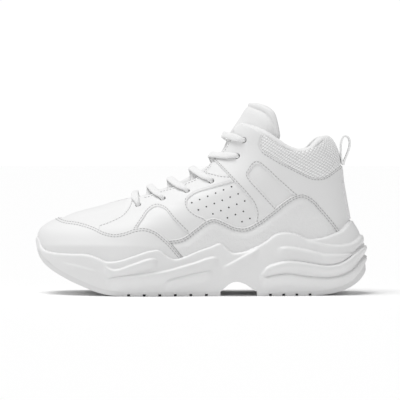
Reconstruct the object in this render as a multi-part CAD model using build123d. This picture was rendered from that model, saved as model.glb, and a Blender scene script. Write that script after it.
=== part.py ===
from build123d import *
from bisect import bisect_right
from math import acos, cos, exp, pi, radians, sin, tan
import os

import numpy as np

# High-top basketball shoe for the left foot, as separate lasted, stitched and moulded pieces.
# The frame: the toe points along -X, the heel along +X, the outer side of the foot along -Y, +Z up.
# The origin is on the ground under the middle of the shoe. All sizes are millimetres.

# ---- driving dimensions ----
HALF_LENGTH = 152.5          # the sole reaches this far towards the toe and towards the heel
LEATHER = 1.2                # thickness of a leather ply
GUARD = 1.6                  # thickness of the toe guard and the side foxing
STIFFENER = 0.8              # toe puff, heel counter and the side backing
LINING = 1.2                 # thickness of the textile lining
SKIN_BASE = -LEATHER         # inner face of the base leather, measured from its outer face
SKIN_STIFF = SKIN_BASE - STIFFENER
SKIN_LINING = SKIN_STIFF - LINING
COLLAR_OUT = 0.9             # the collar's padding stands this far out of the base leather
COLLAR_IN = -7.0             # and this far inwards
EYELET_RADIUS = 2.4
LACE_RADIUS = 1.5
TIP_RADIUS, TIP_LENGTH = 1.5, 20
VENT_RADIUS = 0.55
SHANK = 2.2                  # thickness of the arch plate
SHANK_REACH = 24             # half width of the arch plate
# the throat opens behind this X, to this far each side of the middle
THROAT_START, THROAT_REACH = -55, 6.5
# half width of the throat at the tongue's fold, and where that starts
FOLD_REACH, FOLD_BOTTOM = 11, 149
ROLL_REACH = 14              # the collar's roll stops this far each side of the middle
ROLL_STEP = 62               # ahead of this X the roll is thin, to clear the tongue
BOARD = 2.0                  # thickness of the lasting board
FOOTBED_GAP = 0.05           # play between the footbed and the lining
INSOLE = 4.5                 # thickness of the removable insole
OUTSOLE = 4.0                # thickness of the rubber outsole
TREAD = 2.0                  # depth of the tread grooves
TREAD_GAP = 2.5              # width of a tread groove
TREAD_PLACES = [-66, -52, -38, -24, -10, 4, 62, 74, 86, 98]
VAMP_BACK = -62              # where the base leather's pieces meet, along X
VENT_FRONT = -15
ANKLE_FRONT = 45
PUFF_BACK = -100
COUNTER_FRONT = 80
STRIP_REACH = 10             # half width of the strip up the heel
STRIP_BOTTOM, STRIP_TOP = 69, 102
FLAP_SWING = (30, 15)        # degrees that the tongue's top tips forward, and back into the shoe
LOOP_REACH = 6.5             # half width of the pull loop's webbing
LOOP_BASE = 117.3            # height where the pull loop leaves its sewn patch
WEBBING = 1.4
RING_POINTS = 28             # points around one ring of the last
RING_PARAMETERS = [k / RING_POINTS for k in range(RING_POINTS + 1)]
TALL = 200                   # a height above the whole shoe
WIDE = 90                    # a half width beyond the whole shoe

SIDES = [(1, "outer"), (-1, "inner")]

# ---- the last: how far forward and back each level reaches, as (height, x) ----
TOE_AND_INSTEP = [
    (-10, -143), (20, -144), (40, -147), (48, -148.6), (53, -148.8), (56, -148), (58.5, -146.5),
    (61, -143.8),
    (63.5, -140.5), (65.5, -137), (67.5, -132.4), (69.5, -127.8), (71.5, -123.8), (73.5, -119.3),
    (75.3, -114),
    (77.5, -106), (79.7, -97.2), (82, -88.8), (84, -83), (87, -73), (90, -63.5), (93, -52.5), (96, -42.5),
    (99.5, -33), (105, -20), (110, -10), (115.5, 0), (121, 8), (127.5, 15), (134, 20), (142, 24), (150, 28),
    (158, 33.5), (165, 38), (176, 43), (190, 43),
]
HEEL_AND_ANKLE = [
    (-10, 133), (10, 134.5), (30, 136), (55, 137), (67, 136.3), (80, 134), (97, 131), (106, 129.6),
    (117, 128.6),
    (123, 127.2), (128, 126.2), (132, 124.9), (136, 123.3), (141, 120.8), (146, 117.5), (160, 112),
    (176, 107),
    (190, 107),
]
# Half widths of a level, as shares along it: the level's outline is an ellipse that these fill out.
STATIONS = [0, 0.12, 0.3, 0.5, 0.7, 0.88, 1]
OUTER_SIDE = {
    45: [71, 60, 57, 44, 40.5, 48, 67], 60: [55, 48, 52, 42.5, 39.5, 47, 66],
    70: [40, 38, 45.5, 41, 38.5, 46, 63],
    80: [36, 33, 40, 38.5, 38, 44, 58], 90: [34, 31, 37, 36.5, 37, 43, 53],
    105: [31, 31, 34.5, 35.5, 36.5, 41, 46.6],
    125: [30.5, 31.5, 34, 35.5, 37, 41, 41], 145: [30.7, 33, 35, 36.5, 37.6, 40, 37.6],
}
INNER_SIDE = {
    45: [71, 52, 51, 37, 37, 46.5, 67], 60: [55, 43, 47, 36.5, 36, 45.5, 66],
    70: [40, 35, 42, 35.5, 36, 45, 63],
    80: [36, 31, 37, 35, 35.5, 43.5, 58], 90: [34, 30, 34.5, 34.5, 35.5, 42.5, 53],
    105: [31, 30, 33, 33.5, 35.5, 41, 46.6],
    125: [30.5, 31.5, 34, 34.5, 36.5, 41, 41], 145: [30.7, 33, 34, 35.5, 37.6, 40, 37.6],
}
# (x, y) of the last's middle: the toe turns inwards
MIDDLE_LINE = [(-150, 6), (-60, 2.5), (20, 0.6), (60, 0)]
LAST_LEVELS = [-10, 6, 20, 33, 43, 50, 55.5, 60, 64, 67.5, 71, 75, 80, 86, 93, 101, 111, 122, 134, 147, 160,
    175, 190]

# ---- the sole: (height, x) of its ends and half widths as above ----
SOLE_TOE = [(-5, -147), (20, -150.5), (35, -151.7), (50, -HALF_LENGTH), (80, -HALF_LENGTH)]
SOLE_HEEL = [(-5, 146), (0, 147), (10, 151), (22, HALF_LENGTH), (36, 150.6), (50, 148.3), (58, 145.6),
    (66, 141), (80, 138)]
SOLE_OUTER = {
    0: [70, 62, 58, 46, 46.5, 55, 72], 20: [77, 67, 62, 49, 49.6, 58, 75],
    48: [78, 66, 61, 47.5, 47.5, 56, 74],
    66: [70, 60, 57, 45.5, 43.5, 52, 70],
}
SOLE_INNER = {
    0: [70, 56, 53, 39, 43, 53, 72], 20: [77, 61, 57, 42, 46, 56, 75],
    48: [78, 60, 56, 41.5, 44.5, 54.5, 74],
    66: [70, 54, 52, 40, 40.5, 51, 70],
}
SOLE_LEVELS = [-5, 4, 12, 20, 30, 40, 50, 60, 68, 80]

# ---- side-view lines, as (x, height) ----
GROUND_LINE = [(-153.5, 54), (-151, 43), (-147.5, 34), (-143, 28.5), (-132, 20.6), (-118, 13.2),
    (-104, 7.2), (-92, 2.9),
               (-80, 0.6), (-70, 0)]
HEEL_LINE = [(104, 0), (116, 1.2), (128, 3.8), (138, 8), (146, 13.8), (150.5, 19), (153.5, 25)]
ARCH_LINE = [(18, OUTSOLE), (22, 7.5), (27, 11.5), (33, 13), (40, 11), (46, 7), (51, OUTSOLE)]
RUBBER_TOE_LINE = [(-165, 45.5), (-151, 42), (-143, 34), (-131, 25), (-117, 17.8), (-103, 11.8), (-91, 7.4),
                   (-79, 4.8), (-70, OUTSOLE)]
RUBBER_HEEL_LINE = [(104, OUTSOLE), (116, 5.3), (127, 8), (136, 12.2), (143, 17.6), (148, 24), (154, 31),
    (165, 36)]
RIM_LINE = [
    (-153.5, 52), (-151.2, 51.5), (-149.4, 48), (-148, 44.5), (-145, 41.2), (-138, 39.2), (-120, 38),
    (-101, 37.2), (-93, 34.5), (-86, 31.6), (-78, 31.8), (-60, 36.8), (-45, 41.6),
    (-38, 42.3), (-30, 36.7), (-24, 33.9), (-14, 36), (-5, 40), (10, 45.3), (17.5, 47.9), (24, 43),
    (29, 39.3), (36, 39.5),
    (48, 43.5), (60, 50), (68, 55.9), (77, 57.6), (87, 56), (98, 51.4), (108, 52), (120, 55.2), (129, 59),
    (138, 66.8),
]
FLOOR_LINE = [(-160, 33.5), (-140, 27), (-120, 22.5), (-90, 18.5), (-50, 17.5), (0, 22), (40, 28), (90, 34),
    (160, 38)]
GUARD_LINE = [
    (-133, 70.6), (-127, 68.2), (-111, 65.9), (-97, 62.2), (-86, 57.9), (-78, 56.4), (-71, 57.3),
    (-58, 61.3), (-50, 61.9),
    (-41, 59.2), (-31, 51.5), (-15, 34),
]
THROAT_LINE = [
    (-86, 83), (-65, 88), (-47.5, 90.3), (-36.4, 94.5), (-23.5, 98.1), (-12.4, 102.3), (-3.2, 106.4),
    (4, 114),
    (11.5, 123), (22.6, 133.2), (26.7, 141), (31.3, 149.7),
]
VAMP_SEAM = [(-60, 94), (-63, 88), (-65, 81), (-70, 73.8), (-80, 68), (-93, 63.4)]
FOXING_LINE = [
    (-40, 49), (-29, 50.7), (-18, 52.5), (-5, 61.3), (5, 68.5), (11, 70.5), (20, 68), (32, 62.6),
    (40, 61.9), (50, 66.3),
    (64, 76), (78, 86.4), (88, 91.5), (94.5, 92.9), (102, 90), (115, 76.9), (125, 64.5), (131, 56),
]
ANKLE_FRONT_LINE = [(8, 127), (19, 115.6), (31, 103), (43, 91), (49, 83.5), (52, 76), (50, 66)]
EYESTAY_END = [(-12, 112), (0, 112.5), (11.5, 110.6), (19, 108.8), (26, 108.4)]
MESH_BOTTOM = [
    (57.5, 146), (55.2, 141), (54.4, 136.8), (56, 133), (66, 125.3), (82, 116.4), (92, 111.5), (103, 107),
    (111, 106.9),
    (121, 112), (129, 117.3), (137, 122),
]
MESH_TOP = [(57.5, 146), (64, 141.5), (74, 135), (82, 132), (92, 131), (99, 133.5), (108, 138), (113, 143),
    (118, 144.3)]
FOAM_LINE = [(50, 152), (51, 140), (55, 126), (62, 113), (75, 103), (95, 96), (150, 94)]
COLLAR_TOP = [
    (30, 151.5), (32.5, 155), (36, 157.3), (44, 156), (58, 150), (70, 142.3), (80, 136.2), (91.5, 133.2),
    (98, 134.8),
    (105, 141.2), (110, 145.3), (116, 146.6),
]
ANKLE_TOP = [(31.3, 149.7), (34, 153.2), (40, 154.7), (44, 153.8), (57.5, 146)]
WINDOW_FRONT = [(-58, 60.5), (-52, 69), (-47, 76), (-40, 80.2), (-34, 78.8), (-25, 69.6), (-13, 57.8)]
WINDOW_VENTS = [(3, 71), (-6, 75), (-11, 80), (-11.6, 86.5), (-7, 90.6), (10, 97), (30, 103.2)]
WINDOW_ANKLE = [(74, 74.5), (67, 82), (44, 106.7), (43.4, 110), (47, 118), (51, 120), (55, 118), (85, 91),
    (92, 85)]
TONGUE_LOW = [(-94, 76), (-75, 75.5), (-57, 76.5), (-34, 79), (-12, 86), (10, 95), (34, 113), (50, 125),
    (63, 134), (70, 143)]
TONGUE_TOP = [(70, 143), (68.5, 154), (65, 163), (60, 169.3), (52, 174.3), (40, 176)]
TONGUE_PIVOT = (33.3, 152.2)
LOOP_SIDE = [
    (130.9, 118.2), (129.6, 121), (128.8, 127), (128.6, 135), (129.8, 142.5), (132.7, 145.6),
    (135.9, 144.7), (138, 141),
    (138, 135.5), (136.2, 129.5), (133.8, 123.5), (132.5, 118.2),
]

# ---- eyelets on the outer side, as (x, height), from the toe up; the inner side has the same ----
EYELETS = [(-56.7, 81.1), (-34.1, 87.1), (-12, 94), (10.1, 103.2), (33.9, 126.2), (40.1, 141)]
VENT_START, VENT_ALONG, VENT_DOWN = (-7.9, 84.2), (7.37, 2.93), (6.08, -6.5)
# row, first and one past the last column
VENT_ROWS = [(0, 0, 6), (1, 0, 6), (2, 1, 6), (3, 2, 5), (4, 3, 5)]
LACE_RIDGE = [91, 94.5, 101.5, 111, 121.5, 137]          # height at which each lace run crosses the instep


def smooth(xs, ys, x):
    """A smooth curve through the points, without numbers beyond its ends."""
    x = min(max(x, xs[0]), xs[-1])
    i = min(max(bisect_right(xs, x) - 1, 0), len(xs) - 2)

    def slope(k):
        return (ys[k + 1] - ys[k]) / (xs[k + 1] - xs[k])

    def tangent(k):
        if k == 0:
            return slope(0)
        if k == len(xs) - 1:
            return slope(k - 1)
        before, after = xs[k] - xs[k - 1], xs[k + 1] - xs[k]
        return (slope(k - 1) * after + slope(k) * before) / (before + after)

    step = xs[i + 1] - xs[i]
    t = (x - xs[i]) / step
    ends = (1 + 2 * t) * (1 - t) ** 2 * ys[i] + t * t * (3 - 2 * t) * ys[i + 1]
    return ends + step * t * (1 - t) * ((1 - t) * tangent(i) - t * tangent(i + 1))


def along(points, value):
    """The second number of a list of pairs, where the first is the value."""
    return smooth([p[0] for p in points], [p[1] for p in points], value)


class RingSurface:
    """A closed surface of rings, one above another. An angle of 0 is the toe end, and pi is the heel."""

    def __init__(self, front, back, outer, inner, levels):
        self.front, self.back, self.outer, self.inner, self.levels = front, back, outer, inner, levels

    def half_width(self, angle, height):
        table = self.outer if sin(angle) > 0 else self.inner
        share = (1 - cos(angle)) / 2
        heights = sorted(table)
        return smooth(heights, [smooth(STATIONS, table[h], share) for h in heights], height)

    def point(self, angle, height):
        toe, heel = along(self.front, height), along(self.back, height)
        x = toe + (heel - toe) * (1 - cos(angle)) / 2
        y = along(MIDDLE_LINE, x) - sin(angle) * self.half_width(angle, height)
        return np.array([x, y, height])

    def normal(self, angle, height):
        around = self.point(angle + 0.03, height) - self.point(angle - 0.03, height)
        up = self.point(angle, height + 0.6) - self.point(angle, height - 0.6)
        out = np.cross(around, up)
        return out / np.linalg.norm(out)

    def offset(self, angle, height, distance):
        if distance == 0:
            return self.point(angle, height)
        return self.point(angle, height) + self.normal(angle, height) * distance

    def angle_at(self, x, height, side):
        """The angle where the surface has that x at that height; side is 1 for the outer side and -1 for the inner."""
        toe, heel = along(self.front, height), along(self.back, height)
        share = min(max((x - toe) / (heel - toe), 0), 1)
        return side * acos(1 - 2 * share)

    def solid(self, distance):
        """Everything within the surface, grown by the distance: a number, or a function of angle and height."""
        rings = []
        for height in self.levels:
            points = []
            for k in range(RING_POINTS):
                angle = 2 * pi * (k + 0.5) / RING_POINTS
                grow = distance(angle, height) if callable(distance) else distance
                x, y, z = self.offset(angle, height, grow)
                points.append(Vector(x, y, height if height in (self.levels[0], self.levels[-1]) else z))
            rings.append(Wire([Edge.make_spline(points, periodic=True, parameters=RING_PARAMETERS)]))
        return Solid.make_loft(rings)

    def shell(self, inside, outside):
        """The layer between two distances from the surface, open at the top and the bottom."""
        low, high, walls = [], [], []
        for whole in (self.solid(outside), self.solid(inside)):
            faces = sorted(whole.faces(), key=lambda f: f.center().Z)
            low.append(faces[0].outer_wire())
            high.append(faces[-1].outer_wire())
            walls += faces[1:-1]
        caps = [Face(low[0], [low[1]]), Face(high[0], [high[1]])]
        return Solid(Shell([*walls, *caps]))


LAST = RingSurface(TOE_AND_INSTEP, HEEL_AND_ANKLE, OUTER_SIDE, INNER_SIDE, LAST_LEVELS)
SOLE = RingSurface(SOLE_TOE, SOLE_HEEL, SOLE_OUTER, SOLE_INNER, SOLE_LEVELS)


def side_face(*lines):
    """A face in the side view. Each line is a list of (x, height): two points are straight, more are a smooth curve.
    A straight edge joins each line to the next one."""
    edges = []
    for k, line in enumerate(lines):
        points = [Vector(x, 0, z) for x, z in line]
        edges.append(Edge.make_line(*points) if len(points) == 2 else Edge.make_spline(points))
        following = lines[(k + 1) % len(lines)][0]
        start = Vector(following[0], 0, following[1])
        if (start - points[-1]).length > 1e-6:
            edges.append(Edge.make_line(points[-1], start))
    return Face(Wire(edges))


def polygon(*corners):
    points = [Vector(x, 0, z) for x, z in corners]
    return Face(Wire.make_polygon(points, close=True))


def through(outline, low=-WIDE, high=WIDE):
    """A side-view outline made into a block from one y to another."""
    depth = Vector(0, high - low, 0)
    pieces = [Solid.extrude(f.moved(Location((0, low, 0))), depth) for f in outline.faces()]
    return pieces[0] if len(pieces) == 1 else Compound(pieces)


def block(x0, x1, y0, y1, z0, z1):
    return Solid.make_box(x1 - x0, y1 - y0, z1 - z0, Plane((x0, y0, z0)))


def whole(shape):
    """The solids of a shape, without the crumbs that a cut can leave."""
    solids = shape.solids()
    largest = max(s.volume for s in solids)
    kept = [s for s in solids if s.volume > 0.02 * largest]
    return kept[0] if len(kept) == 1 else Compound(kept)


def panel(layer, outline, side=0):
    """The part of a layer inside a side-view outline. Side 1 is the outer side of the foot, -1 the inner, 0 both."""
    low, high = {1: (-WIDE, 0), -1: (0, WIDE), 0: (-WIDE, WIDE)}[side]
    return whole(layer & through(outline, low, high))


def under(line, floor=-20):
    """The side-view region under a line."""
    return side_face(line, [(line[-1][0], floor), (line[0][0], floor)])


def over(line, top=TALL):
    return side_face(line, [(line[-1][0], top), (line[0][0], top)])


def raised(line, lift):
    return [(x, z + lift) for x, z in line]


# ---- regions of the upper in the side view ----
def leather_region():
    """Where the leather layers are: under the throat's edge, the ankle's top edge and the padded collar."""
    ends = [(170, 124), (170, -15), (-170, -15), (-170, TALL), (-86, TALL)]
    edges = [THROAT_LINE, ANKLE_TOP, MESH_BOTTOM, *[[a, b] for a, b in zip(ends, ends[1:])]]
    return side_face(*edges) & over(FLOOR_LINE)


def guard_region():
    return side_face([(-175, 72), (-133, 70.6)], GUARD_LINE, [(-15, -20), (-175, -20)]) & over(FLOOR_LINE)


def between(low_x, high_x):
    return polygon((low_x, -20), (high_x, -20), (high_x, TALL), (low_x, TALL))


def eyelet_tools(side, picked):
    """A round punch through all layers for each eyelet picked."""
    tools = []
    for x, z in [EYELETS[k] for k in picked]:
        angle = LAST.angle_at(x, z, side)
        inside, out = LAST.offset(angle, z, -9), LAST.normal(angle, z)
        tools.append(Solid.make_cylinder(EYELET_RADIUS, 18, Plane(Vector(*inside), z_dir=Vector(*out))))
    return Compound(tools)


def vent_tools():
    """The small holes of the vent, right through both sides of the shoe."""
    tools = []
    for row, first, last in VENT_ROWS:
        for column in range(first, last):
            x = VENT_START[0] + VENT_ALONG[0] * column + VENT_DOWN[0] * row
            z = VENT_START[1] + VENT_ALONG[1] * column + VENT_DOWN[1] * row
            tools.append(Solid.make_cylinder(VENT_RADIUS, 2 * WIDE, Plane((x, -WIDE, z), z_dir=(0, 1, 0))))
    return Compound(tools)


# ---- sole ----
def make_sole():
    body = SOLE.solid(0)
    over_ground = side_face(GROUND_LINE, [(-70, 0), (104, 0)], HEEL_LINE, [(170, 40), (170, 90)],
        [(-170, 90), (-170, 54)])
    foam = side_face(RUBBER_TOE_LINE, [(-70, OUTSOLE), (18, OUTSOLE)], ARCH_LINE,
                     [(51, OUTSOLE), (104, OUTSOLE)], RUBBER_HEEL_LINE, [(165, 66.8), (139, 66.8)],
                     RIM_LINE[::-1], [(-153.5, 52), (-165, 52)])
    rubber = over_ground - side_face(RUBBER_TOE_LINE, [(-70, OUTSOLE), (104, OUTSOLE)], RUBBER_HEEL_LINE,
                                     [(170, 90), (-170, 90)])
    shank = through(side_face(ARCH_LINE, raised(ARCH_LINE[::-1], SHANK)), -SHANK_REACH, SHANK_REACH)
    cavity = LAST.solid(GUARD) & through(over(FLOOR_LINE))
    grooves = [block(x, x + TREAD_GAP, -WIDE, WIDE, -1, TREAD) for x in TREAD_PLACES]
    return {
        "outsole_forefoot": panel(body, rubber & between(-170, 18)) - Compound(grooves) - cavity,
        "outsole_heel": panel(body, rubber & between(51, 170)) - Compound(grooves),
        "midsole": panel(body, foam & over_ground) - cavity - shank,
        "midfoot_shank": shank,
    }


def make_footbed():
    inside = LAST.solid(SKIN_LINING - FOOTBED_GAP)
    board_top = raised(FLOOR_LINE, BOARD)
    insole_top = raised(FLOOR_LINE, BOARD + INSOLE)
    return {
        "lasting_board": inside & through(side_face(FLOOR_LINE, board_top[::-1])),
        "insole": inside & through(side_face(board_top, insole_top[::-1])),
    }


# ---- upper ----
def throat_gap():
    """The eyestays stay this far apart over the instep, and further where the tongue folds."""
    low = block(THROAT_START, 60, -THROAT_REACH, THROAT_REACH, 80, TALL)
    return [low, block(20, 60, -FOLD_REACH, FOLD_REACH, FOLD_BOTTOM, TALL)]


def make_leather():
    """The base leather, the backing behind it and the textile lining."""
    gap = throat_gap()
    base, backing = LAST.shell(SKIN_BASE, 0), LAST.shell(SKIN_STIFF, SKIN_BASE)
    leather = leather_region()
    puff = guard_region() & between(-170, PUFF_BACK)
    counter = leather & polygon((COUNTER_FRONT, 0), (170, 0), (170, 92), (COUNTER_FRONT + 10, 84))
    nodes = {
        "vamp": panel(base, leather & between(-170, VAMP_BACK)),
        "toe_puff": panel(backing, puff),
        "heel_counter": panel(backing, counter),
    }
    for side, name in SIDES:
        holes = eyelet_tools(side, range(6))
        front = panel(base, leather & between(VAMP_BACK, VENT_FRONT), side) - gap
        nodes[name + "_side_panel"] = front - holes
        vent = panel(base, leather & between(VENT_FRONT, ANKLE_FRONT), side) - gap
        nodes[name + "_vent_panel"] = vent - vent_tools() - holes
        nodes[name + "_ankle_panel"] = panel(base, leather & between(ANKLE_FRONT, 170), side) - holes
        nodes[name + "_backing"] = panel(backing, (leather - puff) - counter, side) - holes - gap
    lining = panel(LAST.shell(SKIN_LINING, SKIN_STIFF), leather - padded_region()) - gap
    nodes["lining"] = lining - eyelet_tools(1, range(6)) - eyelet_tools(-1, range(6))
    return nodes


def make_overlays():
    """The pieces sewn on the base leather: toe guard, eyestays, ankle quarters, foxing and the heel's strip."""
    over_layer, thick_layer = LAST.shell(0, LEATHER), LAST.shell(0, GUARD)
    leather = leather_region()
    guard = guard_region()
    foxing = (under(FOXING_LINE) & over(FLOOR_LINE)) - guard
    front = side_face(ANKLE_FRONT_LINE, [(50, -20), (170, -20)], [(170, TALL), (8, TALL)])
    ahead_of_seam = side_face(VAMP_SEAM, [(-93, -20), (-170, -20)], [(-170, TALL), (-60, TALL)])
    eyestay = leather - guard - foxing - front - ahead_of_seam - over(EYESTAY_END + [(60, 107)])
    eyestay = eyestay - side_face(WINDOW_FRONT) - side_face(WINDOW_VENTS, [(60, 80), (60, 56)],
        [(20, 56), (3, 71)])
    ankle = (leather & front) - side_face(WINDOW_ANKLE) - foxing
    nodes = {"toe_guard": panel(thick_layer, guard)}
    gap = throat_gap()
    for side, name in SIDES:
        nodes[name + "_eyestay"] = panel(over_layer, eyestay, side) - eyelet_tools(side, range(4)) - gap
        nodes[name + "_ankle_quarter"] = panel(over_layer, ankle, side) - eyelet_tools(side, [4, 5]) - gap
        nodes[name + "_foxing"] = panel(thick_layer, foxing, side)
    strip = LAST.shell(LEATHER, 2 * LEATHER)
    nodes["heel_backstay"] = whole(strip & block(110, 160, -STRIP_REACH, STRIP_REACH, STRIP_BOTTOM,
        STRIP_TOP))
    nodes["pull_loop_anchor"] = whole(strip & block(110, 160, -LOOP_REACH, LOOP_REACH, STRIP_TOP,
        LOOP_BASE))
    return nodes


def padded_region():
    """Behind this line the collar is padded."""
    return side_face(FOAM_LINE, [(150, 94), (150, TALL)], [(150, TALL), (50, TALL)])


def make_collar():
    below_roll = side_face(ANKLE_TOP, MESH_TOP, [(118, 144.3), (150, 144.3)], [(150, -20), (31.3, -20)])
    padded = padded_region() & below_roll
    mesh = side_face(MESH_BOTTOM, [(150, 124), (150, 144.3)], MESH_TOP[::-1])
    roll = side_face(ANKLE_TOP, MESH_TOP, [(118, 144.3), (150, 144.3)], [(150, 146.6), (116, 146.6)],
        COLLAR_TOP[::-1])
    foam_in = COLLAR_IN + LINING
    roll_front = panel(LAST.shell(SKIN_LINING, COLLAR_OUT), roll & between(0, ROLL_STEP))
    roll_back = panel(LAST.shell(COLLAR_IN, COLLAR_OUT), roll & between(ROLL_STEP, 170))
    return {
        "collar_mesh": panel(LAST.shell(SKIN_STIFF, COLLAR_OUT), mesh),
        "collar_foam": panel(LAST.shell(foam_in, SKIN_STIFF), padded),
        "collar_lining": panel(LAST.shell(COLLAR_IN, foam_in), padded),
        "collar_roll": roll_back + (roll_front - block(20, ROLL_STEP, -ROLL_REACH, ROLL_REACH, 140, TALL)),
    }


# ---- tongue ----
def tongue_face_depth(angle, height):
    """The tongue lies under the eyestays, and swells up between them."""
    x, y, _ = LAST.point(angle, height)
    under = smooth([-84, -66], [-3.8, -7.9], x)
    swell = smooth([-72, -52], [0, 1], x) * smooth([100, 160], [6.0, 7.0], height)
    reach = smooth([110, 160], [6.5, 16], height)
    return under + swell * exp(-((y - along(MIDDLE_LINE, x)) / reach) ** 2)


def tongue_layer(outer_share, inner_share, skin_out, skin_in):
    """A layer of the tongue, between two shares of its thickness, less the skins' thickness."""
    def outside(angle, height):
        thick = smooth([100, 150], [4.5, 8.5], height)
        return tongue_face_depth(angle, height) - outer_share * thick + skin_out

    def inside(angle, height):
        thick = smooth([100, 150], [4.5, 8.5], height)
        return tongue_face_depth(angle, height) - inner_share * thick + skin_in

    return LAST.shell(inside, outside)


def make_tongue():
    layers = {
        "face": tongue_layer(0, 0, 0, -LEATHER),
        "foam": tongue_layer(0, 1, -LEATHER, LINING),
        "lining": tongue_layer(1, 1, LINING, 0),
    }
    outline = side_face(TONGUE_LOW, TONGUE_TOP, [(40, 176), (-94, 176)])
    x, z = TONGUE_PIVOT
    ahead = (x - 20) * tan(radians(FLAP_SWING[0] + 3))
    behind = (80 - x) * tan(radians(FLAP_SWING[1] + 3))
    flap = outline & polygon((x, z + 0.4), (x - 20, z + 0.4 + ahead), (x - 20, TALL), (80, TALL),
        (80, z + 0.4 + behind))
    low = outline & polygon((-170, z - 0.4), (80, z - 0.4), (80, -20), (-170, -20))
    nodes = {}
    for name, layer in layers.items():
        nodes["tongue_" + name] = panel(layer, low)
        nodes["tongue_flap_" + name] = panel(layer, flap)
    return nodes


def make_pull_loop():
    """A strip of webbing folded into a loop, with both ends sewn together at its foot."""
    outside = np.array(LOOP_SIDE)
    ahead = np.gradient(outside, axis=0)
    inwards = np.stack([ahead[:, 1], -ahead[:, 0]], axis=1) / np.linalg.norm(ahead, axis=1)[:, None]
    inside = [tuple(p) for p in (outside + inwards * WEBBING)[1:-1]]
    loop = side_face(LOOP_SIDE, [LOOP_SIDE[-1], LOOP_SIDE[0]]) - side_face(inside, [inside[-1], inside[0]])
    return {"pull_loop": through(loop, -LOOP_REACH, LOOP_REACH)}


# ---- lace ----
LACE_OUT = LEATHER + LACE_RADIUS + 0.7
LACE_IN = SKIN_LINING - LACE_RADIUS - 0.7


def at(x, z, side, depth):
    """A point at a depth over or under the leather."""
    return Vector(*LAST.offset(LAST.angle_at(x, z, side), z, depth))


def ridge(height, depth, y):
    x = along(TOE_AND_INSTEP, height)
    point = LAST.offset(0, height, depth)
    return Vector(point[0] + 0.012 * y * y, along(MIDDLE_LINE, x) + y, point[2] - 0.03 * y * y)


def crossing(first, side):
    """From the inside of one eyelet to the inside of the next one up, on the other side."""
    (x0, z0), (x1, z1) = EYELETS[first], EYELETS[first + 1]
    height = LACE_RIDGE[first + 1]
    x_top = along(TOE_AND_INSTEP, height)
    lift = 3.2 if side == 1 else 6.8
    leave = at(x0 + 0.45 * (x_top - x0), z0 + 0.45 * (height - z0), side, LACE_IN)
    land = at(x1 + 0.55 * (x_top - x1), z1 + 0.55 * (height - z1), -side, LACE_OUT)
    return [leave, ridge(height, lift, -5 * side), ridge(height, lift, 5 * side), land,
            at(x1, z1, -side, LACE_OUT), at(x1, z1, -side, LACE_IN)]


def lace_end(side):
    """The tucked end, down the inside of the ankle from the top eyelet."""
    return [at(x, z, side, LACE_IN - 1.6) for x, z in [(44.5, 134), (46.5, 124), (47, 112)]]


def lace_route():
    x, z = EYELETS[0]
    half = {}
    for side in (1, -1):
        points = [ridge(LACE_RIDGE[0], 3.4, -5 * side), at(x - 3, z + 7, side, LACE_OUT),
            at(x, z, side, LACE_OUT),
                  at(x, z, side, LACE_IN)]
        here = side
        for first in range(5):
            points += crossing(first, here)
            here = -here
        half[side] = points + lace_end(here)
    return half[1][::-1] + half[-1]


def cord(points, radius):
    """A round cord along straight runs joined by the largest arcs that they leave room for."""
    bends = []
    for before, here, after in zip(points, points[1:], points[2:]):
        turn = radians((here - before).get_angle(after - here))
        bends.append(0.45 * min((here - before).length, (after - here).length) / tan(turn / 2))
    path = FilletPolyline(*points, radius=bends)
    length = path.length
    print("cord length", round(length), "tightest bend", round(min(bends), 1))
    section = Plane(points[0], z_dir=points[1] - points[0]) * Circle(radius)
    tube = sweep(section, path=path)
    print("cord volume over section times length", round(tube.volume / (pi * radius**2 * length), 3))
    return tube.solids()[0]


def make_lace():
    route = lace_route()
    tips = []
    for end, before in ((route[0], route[1]), (route[-1], route[-2])):
        way = (end - before).normalized()
        tips.append(Solid.make_cylinder(TIP_RADIUS, TIP_LENGTH, Plane(end, z_dir=way)))
    return {"lace": cord(route, LACE_RADIUS), "lace_tips": Compound(tips)}


def main():
    os.makedirs("parts", exist_ok=True)
    nodes = {}
    for make in (make_sole, make_footbed, make_leather, make_overlays, make_collar, make_tongue,
        make_pull_loop, make_lace):
        nodes.update(make())
    for name, shape in nodes.items():
        export_step(whole(shape), "parts/" + name + ".step")


main()
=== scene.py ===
# High-top basketball shoe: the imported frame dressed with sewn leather, knit, laces and a moulded foam sole.
import math
import bmesh
import bpy
import numpy as np
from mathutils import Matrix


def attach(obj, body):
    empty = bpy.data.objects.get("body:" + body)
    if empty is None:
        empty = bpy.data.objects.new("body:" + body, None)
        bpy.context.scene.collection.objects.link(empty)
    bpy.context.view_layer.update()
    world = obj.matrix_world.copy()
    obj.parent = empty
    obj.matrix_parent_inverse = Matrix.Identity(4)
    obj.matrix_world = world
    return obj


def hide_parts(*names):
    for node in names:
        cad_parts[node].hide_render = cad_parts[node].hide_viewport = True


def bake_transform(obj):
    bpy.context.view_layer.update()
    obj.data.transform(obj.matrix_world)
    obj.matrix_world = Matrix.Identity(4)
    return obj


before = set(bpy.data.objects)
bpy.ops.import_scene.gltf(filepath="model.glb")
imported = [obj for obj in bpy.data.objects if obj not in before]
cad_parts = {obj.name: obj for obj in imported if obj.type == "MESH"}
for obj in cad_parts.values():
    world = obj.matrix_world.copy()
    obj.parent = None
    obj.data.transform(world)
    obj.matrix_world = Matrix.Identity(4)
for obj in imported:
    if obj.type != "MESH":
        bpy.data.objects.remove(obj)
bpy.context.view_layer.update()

mm = 0.001  # every length below is in millimetres; makePiece turns them into metres

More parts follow.
